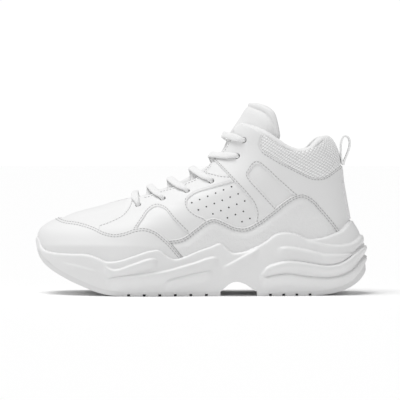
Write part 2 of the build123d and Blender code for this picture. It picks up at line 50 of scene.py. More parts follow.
# the last and the sole as rings: front and back are (height, x), outer and inner are half widths
last = {
    "front": [(-10, -143), (20, -144), (40, -147), (48, -148.6), (53, -148.8), (56, -148), (58.5, -146.5),
              (61, -143.8), (63.5, -140.5), (65.5, -137), (67.5, -132.4), (69.5, -127.8), (71.5, -123.8),
              (73.5, -119.3), (75.3, -114), (77.5, -106), (79.7, -97.2), (82, -88.8), (84, -83), (87, -73),
              (90, -63.5), (93, -52.5), (96, -42.5), (99.5, -33), (105, -20), (110, -10), (115.5, 0),
              (121, 8), (127.5, 15), (134, 20), (142, 24), (150, 28), (158, 33.5), (165, 38), (176, 43),
              (190, 43)],
    "back": [(-10, 133), (10, 134.5), (30, 136), (55, 137), (67, 136.3), (80, 134), (97, 131), (106, 129.6),
             (117, 128.6), (123, 127.2), (128, 126.2), (132, 124.9), (136, 123.3), (141, 120.8),
             (146, 117.5), (160, 112), (176, 107), (190, 107)],
    "outer": {45: [71, 60, 57, 44, 40.5, 48, 67], 60: [55, 48, 52, 42.5, 39.5, 47, 66],
              70: [40, 38, 45.5, 41, 38.5, 46, 63], 80: [36, 33, 40, 38.5, 38, 44, 58],
              90: [34, 31, 37, 36.5, 37, 43, 53], 105: [31, 31, 34.5, 35.5, 36.5, 41, 46.6],
              125: [30.5, 31.5, 34, 35.5, 37, 41, 41], 145: [30.7, 33, 35, 36.5, 37.6, 40, 37.6]},
    "inner": {45: [71, 52, 51, 37, 37, 46.5, 67], 60: [55, 43, 47, 36.5, 36, 45.5, 66],
              70: [40, 35, 42, 35.5, 36, 45, 63], 80: [36, 31, 37, 35, 35.5, 43.5, 58],
              90: [34, 30, 34.5, 34.5, 35.5, 42.5, 53], 105: [31, 30, 33, 33.5, 35.5, 41, 46.6],
              125: [30.5, 31.5, 34, 34.5, 36.5, 41, 41], 145: [30.7, 33, 34, 35.5, 37.6, 40, 37.6]},
}
sole = {
    "front": [(-5, -147), (20, -150.5), (35, -151.7), (50, -152.5), (80, -152.5)],
    "back": [(-5, 146), (0, 147), (10, 151), (22, 152.5), (36, 150.6), (50, 148.3), (58, 145.6), (66, 141),
             (80, 138)],
    "outer": {0: [70, 62, 58, 46, 46.5, 55, 72], 20: [77, 67, 62, 49, 49.6, 58, 75],
              48: [78, 66, 61, 47.5, 47.5, 56, 74], 66: [70, 60, 57, 45.5, 43.5, 52, 70]},
    "inner": {0: [70, 56, 53, 39, 43, 53, 72], 20: [77, 61, 57, 42, 46, 56, 75],
              48: [78, 60, 56, 41.5, 44.5, 54.5, 74], 66: [70, 54, 52, 40, 40.5, 51, 70]},
}
stations = [0, 0.12, 0.3, 0.5, 0.7, 0.88, 1]  # shares of the ring from toe to heel, for each half width
middleLine = [(-150, 6), (-60, 2.5), (20, 0.6), (60, 0)]  # (x, y) of the curved middle of the last


def smoothRows(xs, rows, x):
    # a smooth curve through each column's values; rows is (number of xs, number of x)
    xs = np.asarray(xs, float)
    rows = np.asarray(rows, float)
    x = np.clip(x, xs[0], xs[-1])
    i = np.clip(np.searchsorted(xs, x, side="right") - 1, 0, len(xs) - 2)
    step = np.diff(xs)
    slope = np.diff(rows, axis=0) / step[:, None]
    tangent = np.empty_like(rows)
    tangent[0], tangent[-1] = slope[0], slope[-1]
    tangent[1:-1] = ((slope[:-1] * step[1:, None] + slope[1:] * step[:-1, None])
                     / (step[1:] + step[:-1])[:, None])
    column = np.arange(rows.shape[1]) if rows.shape[1] > 1 else np.zeros(len(x), int)
    t = (x - xs[i]) / step[i]
    ends = (1 + 2 * t) * (1 - t) ** 2 * rows[i, column] + t * t * (3 - 2 * t) * rows[i + 1, column]
    return ends + step[i] * t * (1 - t) * ((1 - t) * tangent[i, column] - t * tangent[i + 1, column])


def curveAt(points, x):
    xs, ys = zip(*points)
    x = np.asarray(x, float)
    return smoothRows(xs, np.asarray(ys, float)[:, None], x.ravel()).reshape(x.shape)


def ramp(low, high, x):
    t = np.clip((x - low) / (high - low), 0, 1)
    return t * t * (3 - 2 * t)


def ringPoint(form, angle, height):
    angle, height = np.broadcast_arrays(np.asarray(angle, float), np.asarray(height, float))
    shape = angle.shape
    angle, height = angle.ravel(), height.ravel()
    share = (1 - np.cos(angle)) / 2
    widths = []
    for side in ("outer", "inner"):
        levels = sorted(form[side])
        rows = np.array([curveAt(list(zip(stations, form[side][level])), share) for level in levels])
        widths.append(smoothRows(levels, rows, height))
    half = np.where(np.sin(angle) > 0, widths[0], widths[1])
    toe, heel = curveAt(form["front"], height), curveAt(form["back"], height)
    x = toe + (heel - toe) * share
    y = curveAt(middleLine, x) - np.sin(angle) * half
    return np.stack([x, y, height], axis=-1).reshape(*shape, 3)


def ringNormal(form, angle, height):
    around = ringPoint(form, angle + 0.03, height) - ringPoint(form, angle - 0.03, height)
    up = ringPoint(form, angle, height + 0.6) - ringPoint(form, angle, height - 0.6)
    out = np.cross(around, up)
    return out / np.linalg.norm(out, axis=-1, keepdims=True)


def angleAt(form, x, height, side):
    x, height = np.asarray(x, float), np.asarray(height, float)
    toe, heel = curveAt(form["front"], height), curveAt(form["back"], height)
    return side * np.arccos(1 - 2 * np.clip((x - toe) / (heel - toe), 0, 1))


def surfaceGrid(form, heights, spacing):
    # columns are evenly spaced along the ring at the middle height
    fine = np.linspace(-math.pi, math.pi, 4001)
    ring = ringPoint(form, fine, np.full_like(fine, heights[len(heights) // 3]))
    run = np.concatenate([[0], np.cumsum(np.linalg.norm(np.diff(ring, axis=0), axis=1))])
    count = int(run[-1] / spacing)
    angles = np.interp(np.linspace(0, run[-1], count + 1), run, fine)
    a, h = np.meshgrid(angles, heights)
    points = ringPoint(form, a, h)
    normals = ringNormal(form, a, h)
    return {"points": points, "normals": normals, "x": points[..., 0], "z": points[..., 2],
            "outer": np.sin(a) > 0, "angle": a, "shape": a.shape}


# side-view outlines
def densify(line, step=0.8):
    # a smooth line through the points; two points are a straight line
    p = np.asarray(line, float)
    if len(p) == 2:
        return p
    run = np.concatenate([[0], np.cumsum(np.linalg.norm(np.diff(p, axis=0), axis=1))])
    t = np.linspace(0, run[-1], max(int(run[-1] / step), 4))
    return np.stack([smoothRows(run, p[:, k:k + 1], t) for k in (0, 1)], axis=1)


def distanceTo(polyline, x, z, signed=False):
    # distance from points to a polyline; signed is positive under the line, for a line that runs to +x
    a, b = polyline[:-1], polyline[1:]
    ab = b - a
    length2 = np.maximum((ab**2).sum(1), 1e-12)
    flat = np.stack([x.ravel(), z.ravel()], axis=1)
    best = np.full(len(flat), 1e9)
    sign = np.ones(len(flat))
    for k in range(len(a)):
        rel = flat - a[k]
        t = np.clip(rel @ ab[k] / length2[k], 0, 1)
        off = rel - t[:, None] * ab[k]
        d = (off**2).sum(1)
        closer = d < best
        best = np.where(closer, d, best)
        if signed:
            sign = np.where(closer, np.sign(ab[k][1] * rel[:, 0] - ab[k][0] * rel[:, 1]), sign)
    return (np.sqrt(best) * sign).reshape(x.shape)


def inside(lines, x, z):
    # signed distance to a closed outline, positive inside
    p = np.concatenate([densify(line) for line in lines])
    closed = np.concatenate([p, p[:1]])
    gap = distanceTo(closed, x, z)
    a, b = closed[:-1], closed[1:]
    xr, zr = x.ravel(), z.ravel()
    odd = np.zeros(len(xr), bool)
    for (x0, z0), (x1, z1) in zip(a, b):
        if z0 == z1:
            continue
        crosses = (z0 > zr) != (z1 > zr)
        odd ^= crosses & (xr < (x1 - x0) * (zr - z0) / (z1 - z0) + x0)
    return np.where(odd.reshape(x.shape), gap, -gap)


def underLine(line, x, z):
    return distanceTo(densify(line), x, z, signed=True)


# meshes from a grid and a field
def splitCell(corners, values, cut):
    # one convex polygon split where its value is the cut: (part below, part above)
    low, high = [], []
    n = len(corners)
    for k in range(n):
        p, q, v, w = corners[k], corners[(k + 1) % n], values[k] - cut, values[(k + 1) % n] - cut
        (high if v >= 0 else low).append((p, v + cut))
        if (v >= 0) != (w >= 0):
            t = v / (v - w)
            m = (p[0] + t * (q[0] - p[0]), p[1] + t * (q[1] - p[1]))
            low.append((m, cut))
            high.append((m, cut))
    return low, high


def fieldMesh(grid, field, cuts):
    # grid cells where the field is over the first cut, split along every cut; returns grid places, faces
    rows, columns = grid["shape"]
    places, faces, index = [], [], {}

    def vertex(p):
        key = (round(p[0], 3), round(p[1], 3))
        if key not in index:
            index[key] = len(places)
            places.append(p)
        return index[key]

    corner = np.stack([field[:-1, :-1], field[:-1, 1:], field[1:, 1:], field[1:, :-1]], axis=-1)
    low, high = corner.min(-1), corner.max(-1)
    for r, c in np.argwhere(high > cuts[0]):
        polygons = [[((r, c), corner[r, c, 0]), ((r, c + 1), corner[r, c, 1]),
                     ((r + 1, c + 1), corner[r, c, 2]), ((r + 1, c), corner[r, c, 3])]]
        for level, cut in enumerate(cuts):
            if not low[r, c] < cut <= high[r, c]:
                continue
            pieces = []
            for polygon in polygons:
                below, above = splitCell([p for p, _ in polygon], [v for _, v in polygon], cut)
                if len(above) > 2:
                    pieces.append(above)
                if level and len(below) > 2:
                    pieces.append(below)
            polygons = pieces
        for polygon in polygons:
            ids = []
            for p, _ in polygon:
                v = vertex(p)
                if v not in ids:
                    ids.append(v)
            if len(ids) > 2:
                faces.append(ids)
    return np.array(places, float), faces


def sampleGrid(values, places):
    r = np.clip(places[:, 0], 0, values.shape[0] - 1.001)
    c = np.clip(places[:, 1], 0, values.shape[1] - 1.001)
    r0, c0 = r.astype(int), c.astype(int)
    fr, fc = r - r0, c - c0
    if values.ndim == 3:
        fr, fc = fr[:, None], fc[:, None]
    top = values[r0, c0] * (1 - fc) + values[r0, c0 + 1] * fc
    bottom = values[r0 + 1, c0] * (1 - fc) + values[r0 + 1, c0 + 1] * fc
    return top * (1 - fr) + bottom * fr


def makePiece(name, points, faces, material, attributes=None, body="shoe", nodes=(), flip=False):
    mesh = bpy.data.meshes.new(name)
    faces = [list(f)[::-1] for f in faces] if flip else [list(f) for f in faces]
    mesh.from_pydata((np.asarray(points) * mm).tolist(), [], faces)
    for label, values in (attributes or {}).items():
        mesh.attributes.new(label, "FLOAT", "POINT").data.foreach_set("value", np.asarray(values, np.float32))
    bm = bmesh.new()
    bm.from_mesh(mesh)
    bmesh.ops.remove_doubles(bm, verts=bm.verts, dist=2e-6)
    bm.to_mesh(mesh)
    bm.free()
    mesh.polygons.foreach_set("use_smooth", [True] * len(mesh.polygons))
    mesh.materials.append(material)
    piece = bpy.data.objects.new(name, mesh)
    bpy.context.scene.collection.objects.link(piece)
    if body:
        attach(piece, body)
    if nodes:
        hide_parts(*nodes)
    return piece


# lines on the side of the shoe, as (x, height)
lines = {
    "throat": [(-86, 83), (-65, 88), (-47.5, 90.3), (-36.4, 94.5), (-23.5, 98.1), (-12.4, 102.3),
               (-3.2, 106.4), (4, 114), (11.5, 123), (22.6, 133.2), (26.7, 141), (31.3, 149.7)],
    "ankleTop": [(31.3, 149.7), (34, 153.2), (40, 154.7), (44, 153.8), (57.5, 146)],
    "meshBottom": [(57.5, 146), (55.2, 141), (54.4, 136.8), (56, 133), (66, 125.3), (82, 116.4),
                   (92, 111.5), (103, 107), (111, 107.2), (120, 112.3), (128, 117.9), (137, 124.5)],
    "meshTop": [(57.5, 146), (64, 141.5), (74, 135), (82, 132), (92, 131), (99, 133.5), (108, 138),
                (113, 143), (118, 144.3)],
    "collarTop": [(30, 151.5), (32.5, 155), (36, 157.3), (44, 156), (58, 150), (70, 142.3), (80, 136.2),
                  (91.5, 133.2), (98, 134.8), (105, 141.2), (110, 145.3), (116, 146.6)],
    "foam": [(50, 152), (51, 140), (55, 126), (62, 113), (75, 103), (95, 96), (150, 94)],
    "guard": [(-175, 72), (-133, 70.6), (-127, 68.2), (-111, 65.9), (-97, 62.2), (-86, 57.9), (-78, 56.4),
              (-71, 57.3), (-58, 61.3), (-50, 61.9), (-41, 59.2), (-31, 51.5), (-15, 34)],
    "vampSeam": [(-60, 94), (-63, 88), (-65, 81), (-70, 73.8), (-80, 68), (-93, 63.4)],
    "foxing": [(-40, 49), (-29, 50.7), (-18, 52.5), (-5, 61.3), (5, 68.5), (11, 70.5), (20, 68), (32, 62.6),
               (40, 61.9), (50, 66.3), (64, 76.4), (77, 86.6), (86, 91.6), (92, 92.9), (99.5, 90),
               (112.5, 76.9), (123, 64), (129, 55.5)],
    "ankleFront": [(8, 127), (19, 115.6), (31, 103), (42, 91), (47.5, 83.5), (50.2, 76), (49.5, 66)],
    "eyestayEnd": [(-12, 112), (0, 112.5), (11.5, 110.6), (19, 108.8), (26, 108.4), (60, 107)],
    "windowFront": [(-58, 60.5), (-52, 69), (-47, 76), (-40, 80.2), (-34, 78.8), (-25, 69.6),
                    (-13, 57.8)],
    "windowVents": [(3, 71), (-6, 75), (-11, 80), (-11.6, 86.5), (-7, 90.6), (10, 97), (30, 103.2)],
    "windowAnkle": [(74, 74), (67, 81.3), (59.5, 89.6), (52, 98), (45, 106), (43.3, 109.3), (45.4, 113.8),
                    (48.2, 118), (50.6, 119.8), (53.4, 119.2), (55.8, 117.4), (70, 104.3), (85, 91),
                    (92, 84.8)],
    "tongueLow": [(-94, 76), (-75, 75.5), (-57, 76.5), (-34, 79), (-12, 86), (10, 95), (34, 113), (50, 125),
                  (63, 134), (70, 143)],
    "tongueTop": [(70, 143), (68.5, 154), (65, 163), (60, 169.3), (52, 174.3), (40, 176)],
    "rim": [(-165, 53), (-153.5, 52.2), (-151.2, 51.5), (-149.4, 48), (-148, 44.5), (-145, 41.2),
            (-138, 39.2), (-120, 38), (-101, 37.2), (-93, 34.5), (-86, 31.6), (-78, 31.8), (-60, 36.8),
            (-45, 41.6), (-38, 42.3), (-30, 36.7), (-24, 33.9), (-14, 36), (-5, 40), (10, 45.3),
            (17.5, 47.9), (24, 43), (29, 39.3), (36, 39.5), (48, 43.5), (60, 50), (68, 55.9), (77, 57.6),
            (87, 56), (98, 51.4), (108, 52), (120, 55.2), (129, 59), (138, 66.8), (165, 67.5)],
    "sunk": [(-175, 40.5), (-150, 39.5), (-144, 38), (-138, 35.5), (-120, 28), (-90, 21), (-50, 19),
             (0, 23), (40, 29), (90, 34), (160, 38)],
    "rubber": [(-165, 45.5), (-151, 42), (-143, 34), (-131, 25), (-117, 17.8), (-103, 11.8), (-91, 7.4),
               (-79, 4.8), (-70, 4), (-40, 4), (-10, 4), (18, 4), (22, 7.5), (27, 11.5), (33, 13), (40, 11),
               (46, 7), (51, 4), (78, 4), (104, 4), (116, 5.3), (127, 8), (136, 12.2), (143, 17.6),
               (148, 24), (154, 31), (165, 36)],
}
eyelets = [(-56.7, 81.1), (-34.1, 87.1), (-12, 94), (10.1, 103.2), (33.9, 126.2), (40.1, 141)]
sides = {"outer": 1, "inner": -1}
# closes the upper's outline below and ahead of its own edges
sideBox = [(170, 124), (170, -15), (-170, -15), (-170, 200), (-86, 200)]

heights = np.concatenate([np.arange(22, 58, 1.0), np.arange(58, 108, 0.6), np.arange(108, 161, 0.9)])
upper = surfaceGrid(last, heights, 1.15)
print("upper grid", upper["shape"])


def leatherField():
    outline = [lines["throat"], lines["ankleTop"], lines["meshBottom"],
               *[[a, b] for a, b in zip(sideBox, sideBox[1:])]]
    g = inside(outline, upper["x"], upper["z"])
    for x, z in eyelets:
        for side in (1, -1):
            centre = ringPoint(last, angleAt(last, x, z, side), z)
            g = np.minimum(g, np.linalg.norm(upper["points"] - centre, axis=-1) - 2.4)
    g = np.minimum(g, -underLine(lines["sunk"], upper["x"], upper["z"]))
    throatGap = np.abs(upper["points"][..., 1] - curveAt(middleLine, upper["x"])) - 6.5
    return np.where((upper["x"] > -55) & (upper["x"] < 60) & (upper["z"] > 80), np.minimum(g, throatGap), g)


x, z = upper["x"], upper["z"]
fields = {"leather": leatherField(), "guard": underLine(lines["guard"], x, z),
          "foxing": underLine(lines["foxing"], x, z)}
fields["foxing"] = np.where(x > 131, -np.abs(fields["foxing"]), fields["foxing"])
fields["ankleFront"] = underLine(lines["ankleFront"][::-1] + [(8, 220)], x, z)
fields["windowFront"] = inside([lines["windowFront"], [(-13, 57.8), (-13, 40)], [(-58, 40),
                                                                                 (-58, 60.5)]], x, z)
fields["windowVents"] = inside([lines["windowVents"], [(60, 80), (60, 56)], [(20, 56), (3, 71)]], x, z)
fields["windowAnkle"] = inside([lines["windowAnkle"]], x, z)
front = inside([lines["ankleFront"], [(50, -20), (170, -20)], [(170, 220), (8, 220)]], x, z)
ahead = inside([lines["vampSeam"], [(-93, -20), (-170, -20)], [(-170, 220), (-60, 220)]], x, z)
underEnd = underLine(lines["eyestayEnd"], x, z)
underEnd = np.where((x < -12) | (x > 60), 50, underEnd)
onSide = {"outer": np.where(upper["outer"], 50, -50), "inner": np.where(upper["outer"], -50, 50),
          "both": np.full(x.shape, 50)}
print("side-view fields ready")


# materials
def nodeTools(material):
    material.use_nodes = True
    tree = material.node_tree
    tree.nodes.clear()

    def add(kind, **settings):
        node = tree.nodes.new(kind)
        for key, value in settings.items():
            if key.startswith("_"):
                setattr(node, key[1:], value)
            else:
                node.inputs[key].default_value = value
        return node

    def link(a, b):
        tree.links.new(a, b)

    return tree, add, link


def makeGrainGroup():
    # leather grain: fine cells broken by soft creases. Height and Shade out
    group = bpy.data.node_groups.new("leatherGrain", "ShaderNodeTree")
    for label, value in (("Cell Scale", 900.0), ("Crease Scale", 90.0), ("Crease Depth", 0.4)):
        socket = group.interface.new_socket(label, in_out="INPUT", socket_type="NodeSocketFloat")
        socket.default_value = value
    group.interface.new_socket("Place", in_out="INPUT", socket_type="NodeSocketVector")
    group.interface.new_socket("Height", in_out="OUTPUT", socket_type="NodeSocketFloat")
    group.interface.new_socket("Shade", in_out="OUTPUT", socket_type="NodeSocketFloat")
    nodes, links = group.nodes, group.links
    start, end = nodes.new("NodeGroupInput"), nodes.new("NodeGroupOutput")
    cells = nodes.new("ShaderNodeTexVoronoi")
    cells.feature = "DISTANCE_TO_EDGE"
    creases = nodes.new("ShaderNodeTexNoise")
    creases.inputs["Detail"].default_value = 4.0
    creases.inputs["Distortion"].default_value = 0.6
    tones = nodes.new("ShaderNodeTexNoise")
    tones.inputs["Scale"].default_value = 22.0
    links.new(start.outputs["Place"], cells.inputs["Vector"])
    links.new(start.outputs["Place"], creases.inputs["Vector"])
    links.new(start.outputs["Place"], tones.inputs["Vector"])
    links.new(start.outputs["Cell Scale"], cells.inputs["Scale"])
    links.new(start.outputs["Crease Scale"], creases.inputs["Scale"])
    soften = nodes.new("ShaderNodeMath")
    soften.operation = "MINIMUM"
    soften.inputs[1].default_value = 0.12
    links.new(cells.outputs["Distance"], soften.inputs[0])
    deepen = nodes.new("ShaderNodeMath")
    deepen.operation = "MULTIPLY"
    links.new(creases.outputs["Fac"], deepen.inputs[0])
    links.new(start.outputs["Crease Depth"], deepen.inputs[1])
    total = nodes.new("ShaderNodeMath")
    total.operation = "ADD"
    links.new(soften.outputs[0], total.inputs[0])
    links.new(deepen.outputs[0], total.inputs[1])
    links.new(total.outputs[0], end.inputs["Height"])
    links.new(tones.outputs["Fac"], end.inputs["Shade"])
    return group


def makeSeamGroup():
    # the dip that a row of stitches pulls into leather, from a piece's distance to its seam in millimetres;
    # the leather uses it as a bump and as painted shade in the groove
    group = bpy.data.node_groups.new("seamDip", "ShaderNodeTree")
    for label, value in (("Distance", 0.0), ("Row", 1.5), ("Width", 0.5)):
        group.interface.new_socket(label, in_out="INPUT", socket_type="NodeSocketFloat").default_value = value
    group.interface.new_socket("Dip", in_out="OUTPUT", socket_type="NodeSocketFloat")
    nodes, links = group.nodes, group.links
    start, end = nodes.new("NodeGroupInput"), nodes.new("NodeGroupOutput")

    def calc(operation, a, b):
        node = nodes.new("ShaderNodeMath")
        node.operation = operation
        for k, value in enumerate((a, b)):
            if isinstance(value, float):
                node.inputs[k].default_value = value
            else:
                links.new(value, node.inputs[k])
        return node.outputs[0]

    off = calc("DIVIDE", calc("SUBTRACT", start.outputs["Distance"], start.outputs["Row"]),
               start.outputs["Width"])
    dip = calc("POWER", 2.718, calc("MULTIPLY", calc("MULTIPLY", off, off), -1.0))
    links.new(dip, end.inputs["Dip"])
    return group


grainGroup, seamGroup = makeGrainGroup(), makeSeamGroup()


def leatherMaterial(name, colour, roughness, cellScale=900.0, creaseScale=90.0, creaseDepth=0.3, bump=0.25,
                    rows=(), coat=0.03):
    material = bpy.data.materials.new(name)
    tree, add, link = nodeTools(material)
    place = add("ShaderNodeTexCoord")
    grain = add("ShaderNodeGroup", _node_tree=grainGroup)
    grain.inputs["Cell Scale"].default_value = cellScale
    grain.inputs["Crease Scale"].default_value = creaseScale
    grain.inputs["Crease Depth"].default_value = creaseDepth
    link(place.outputs["Object"], grain.inputs["Place"])
    height = grain.outputs["Height"]
    shade = grain.outputs["Shade"]
    paint = add("ShaderNodeMix", _data_type="RGBA")
    paint.inputs[6].default_value = (*[c * 0.985 for c in colour], 1)
    paint.inputs[7].default_value = (*colour, 1)
    link(shade, paint.inputs[0])
    colourOut = paint.outputs[2]
    if rows:
        seam = add("ShaderNodeAttribute", _attribute_name="seam")
        for row in rows:
            dip = add("ShaderNodeGroup", _node_tree=seamGroup)
            dip.inputs["Row"].default_value = row
            dip.inputs["Width"].default_value = 0.55
            link(seam.outputs["Fac"], dip.inputs["Distance"])
            lower = add("ShaderNodeMath", _operation="MULTIPLY_ADD")
            lower.inputs[1].default_value = -1.3
            link(dip.outputs["Dip"], lower.inputs[0])
            link(height, lower.inputs[2])
            height = lower.outputs[0]
            # painted shade: the leather's colour is darkened in the groove that each stitch row pulls in
            grooveShade = add("ShaderNodeMix", _data_type="RGBA")
            scale = add("ShaderNodeMath", _operation="MULTIPLY")
            scale.inputs[1].default_value = 0.22
            link(dip.outputs["Dip"], scale.inputs[0])
            link(scale.outputs[0], grooveShade.inputs[0])
            link(colourOut, grooveShade.inputs[6])
            grooveShade.inputs[7].default_value = (*[c * 0.45 for c in colour], 1)
            colourOut = grooveShade.outputs[2]
    raised = add("ShaderNodeBump", Strength=bump, Distance=0.0006)
    link(height, raised.inputs["Height"])
    rough = add("ShaderNodeMapRange")
    rough.inputs["To Min"].default_value = roughness - 0.05
    rough.inputs["To Max"].default_value = roughness + 0.06
    link(shade, rough.inputs["Value"])
    skin = add("ShaderNodeBsdfPrincipled")
    skin.inputs["Specular IOR Level"].default_value = 0.35
    skin.inputs["Coat Weight"].default_value = coat
    skin.inputs["Coat Roughness"].default_value = 0.4
    link(colourOut, skin.inputs["Base Color"])
    link(rough.outputs[0], skin.inputs["Roughness"])
    link(raised.outputs["Normal"], skin.inputs["Normal"])
    end = add("ShaderNodeOutputMaterial")
    link(skin.outputs[0], end.inputs["Surface"])
    return material


def weaveMaterial(name, colour, pitch, depth, roughness=0.85, diamond=False, sheen=0.25, attribute=None,
                  distortion=0.6, gap=0.4, shadow=0.72):
    # two families of threads crossing: square for webbing and lining, slanted for the collar's knit
    material = bpy.data.materials.new(name)
    tree, add, link = nodeTools(material)
    place = add("ShaderNodeAttribute", _attribute_name=attribute) if attribute else add("ShaderNodeTexCoord")
    placeOut = place.outputs["Vector" if attribute else "Object"]
    heightOut = None
    turns = (50, -27) if diamond else (0, 90)
    for sign in (1, -1):
        turn = add("ShaderNodeMapping")
        turn.inputs["Rotation"].default_value = (0, math.radians(turns[0 if sign == 1 else 1]), 0)
        link(placeOut, turn.inputs["Vector"])
        wave = add("ShaderNodeTexWave", _wave_type="BANDS", _bands_direction="Z", Scale=0.314 / (pitch * mm))
        wave.inputs["Distortion"].default_value = distortion
        wave.inputs["Detail"].default_value = 1.0
        link(turn.outputs[0], wave.inputs["Vector"])
        if heightOut is None:
            heightOut = wave.outputs["Fac"]
        else:
            cross = add("ShaderNodeMath", _operation="MINIMUM" if diamond else "MAXIMUM")
            link(heightOut, cross.inputs[0])
            link(wave.outputs["Fac"], cross.inputs[1])
            heightOut = cross.outputs[0]
    paint = add("ShaderNodeMix", _data_type="RGBA")
    paint.inputs[6].default_value = (*[c * shadow for c in colour], 1)
    paint.inputs[7].default_value = (*colour, 1)
    lift = add("ShaderNodeMapRange")
    lift.inputs["From Max"].default_value = gap
    link(heightOut, lift.inputs["Value"])
    link(lift.outputs[0], paint.inputs[0])
    raised = add("ShaderNodeBump", Strength=depth, Distance=0.0008)
    link(heightOut, raised.inputs["Height"])
    cloth = add("ShaderNodeBsdfPrincipled", Roughness=roughness)
    cloth.inputs["Sheen Weight"].default_value = sheen
    cloth.inputs["Specular IOR Level"].default_value = 0.2
    link(paint.outputs[2], cloth.inputs["Base Color"])
    link(raised.outputs["Normal"], cloth.inputs["Normal"])
    end = add("ShaderNodeOutputMaterial")
    link(cloth.outputs[0], end.inputs["Surface"])
    return material


def moulded(name, colour, roughness, speckle=0.02, bump=0.05, scale=160.0):
    material = bpy.data.materials.new(name)
    tree, add, link = nodeTools(material)
    place = add("ShaderNodeTexCoord")
    noise = add("ShaderNodeTexNoise", Scale=scale, Detail=5.0)
    link(place.outputs["Object"], noise.inputs["Vector"])
    paint = add("ShaderNodeMix", _data_type="RGBA")
    paint.inputs[6].default_value = (*[c * (1 - speckle) for c in colour], 1)
    paint.inputs[7].default_value = (*colour, 1)
    link(noise.outputs["Fac"], paint.inputs[0])
    raised = add("ShaderNodeBump", Strength=bump, Distance=0.0004)
    link(noise.outputs["Fac"], raised.inputs["Height"])
    rough = add("ShaderNodeMapRange")
    rough.inputs["To Min"].default_value = roughness - 0.06
    rough.inputs["To Max"].default_value = roughness + 0.06
    link(noise.outputs["Fac"], rough.inputs["Value"])
    body = add("ShaderNodeBsdfPrincipled")
    body.inputs["Specular IOR Level"].default_value = 0.35
    link(paint.outputs[2], body.inputs["Base Color"])
    link(rough.outputs[0], body.inputs["Roughness"])
    link(raised.outputs["Normal"], body.inputs["Normal"])
    end = add("ShaderNodeOutputMaterial")
    link(body.outputs[0], end.inputs["Surface"])
    return material


white = (0.86, 0.86, 0.86)
materials = {
    "smooth": leatherMaterial("smoothLeather", white, 0.56, creaseDepth=0.15, bump=0.14),
    "overlay": leatherMaterial("overlayLeather", white, 0.54, creaseDepth=0.25, bump=0.18, rows=(1.5,)),
    "guard": leatherMaterial("guardLeather", white, 0.52, creaseDepth=0.15, bump=0.16, rows=(1.5, 3.3)),
    "foxing": leatherMaterial("foxingLeather", white, 0.54, creaseScale=260.0, creaseDepth=1.6, bump=0.5,
                              rows=(1.5, 3.3)),
    "knit": weaveMaterial("collarKnit", (0.98, 0.98, 0.98), 2.3, 0.5, diamond=True, attribute="cloth",
                          distortion=0.0, gap=0.2, shadow=0.66),
    "lining": weaveMaterial("liningKnit", (0.9, 0.9, 0.9), 0.8, 0.2),
    "tongue": leatherMaterial("tongueCloth", (0.86, 0.86, 0.86), 0.6, cellScale=1500.0, bump=0.12, rows=()),
    "webbing": weaveMaterial("webbing", (0.98, 0.98, 0.98), 0.9, 0.2, gap=0.3, shadow=0.88),
    "lace": weaveMaterial("laceBraid", (0.98, 0.98, 0.98), 0.9, 0.3, diamond=True, attribute="cloth", gap=0.3,
                          shadow=0.85),
    "thread": moulded("thread", (0.48, 0.48, 0.48), 0.7),
    "foam": moulded("soleFoam", (0.85, 0.85, 0.85), 0.42, bump=0.06),
    "rubber": moulded("soleRubber", (0.80, 0.80, 0.80), 0.55, bump=0.15, scale=300.0),
    "dark": moulded("ventShadow", (0.03, 0.03, 0.03), 0.9),
    "plastic": moulded("tipPlastic", (0.82, 0.82, 0.82), 0.25),
    "padding": moulded("padding", (0.85, 0.84, 0.78), 0.9, speckle=0.1, bump=0.4, scale=500.0),
    "board": moulded("lastingBoard", (0.74, 0.72, 0.66), 0.9, speckle=0.08),
    "insole": weaveMaterial("insoleKnit", (0.84, 0.84, 0.83), 1.1, 0.4),
}
print("materials ready")


# sewn leather
def rounded(g, reach):
    q = np.clip(g / reach, 0, 1)
    return np.sqrt(np.clip(1 - (1 - q) ** 2, 0, 1))


def leatherPanel(name, field, low, high, material, edge=0.9, seam=None, puff=None, nodes=()):
    cuts = [0, 0.12 * edge, 0.4 * edge, edge] if edge else [0]
    places, faces = fieldMesh(upper, field, cuts)
    g = sampleGrid(field, places)
    depth = low - 0.25 + (high - low + 0.25) * rounded(g, edge) if edge else np.full(len(g), high)
    if puff is not None:
        depth = depth + sampleGrid(puff, places)
    points = sampleGrid(upper["points"], places) + sampleGrid(upper["normals"], places) * depth[:, None]
    attributes = {"seam": sampleGrid(seam, places) if seam is not None else np.full(len(g), 9.0)}
    return makePiece(name, points, faces, material, attributes, nodes=nodes)


leather, guard, foxing = fields["leather"], fields["guard"], fields["foxing"]
aboveSunk = -underLine(lines["sunk"], x, z)
windows = {"front": fields["windowFront"], "vents": fields["windowVents"], "ankle": fields["windowAnkle"]}
panels = {"leatherHeight": 1.35, "guardHeight": 1.75, "foxingHeight": 1.85, "windowPuff": 0.3}
basePuff = panels["windowPuff"] * sum(ramp(0.5, 7, w) for w in windows.values())
base = [("vamp", -170, -62, "both"), *[(s + "_side_panel", -62, -15, s) for s in sides],
        *[(s + "_vent_panel", -15, 45, s) for s in sides], *[(s + "_ankle_panel", 45, 170, s) for s in sides]]
for name, lowX, highX, side in base:
    field = np.minimum(np.minimum(leather, np.minimum(x - lowX, highX - x)), onSide[side])
    leatherPanel(name + "_leather", field, 0, 0, materials["smooth"], edge=0, puff=basePuff, nodes=[name])
print("base leather")

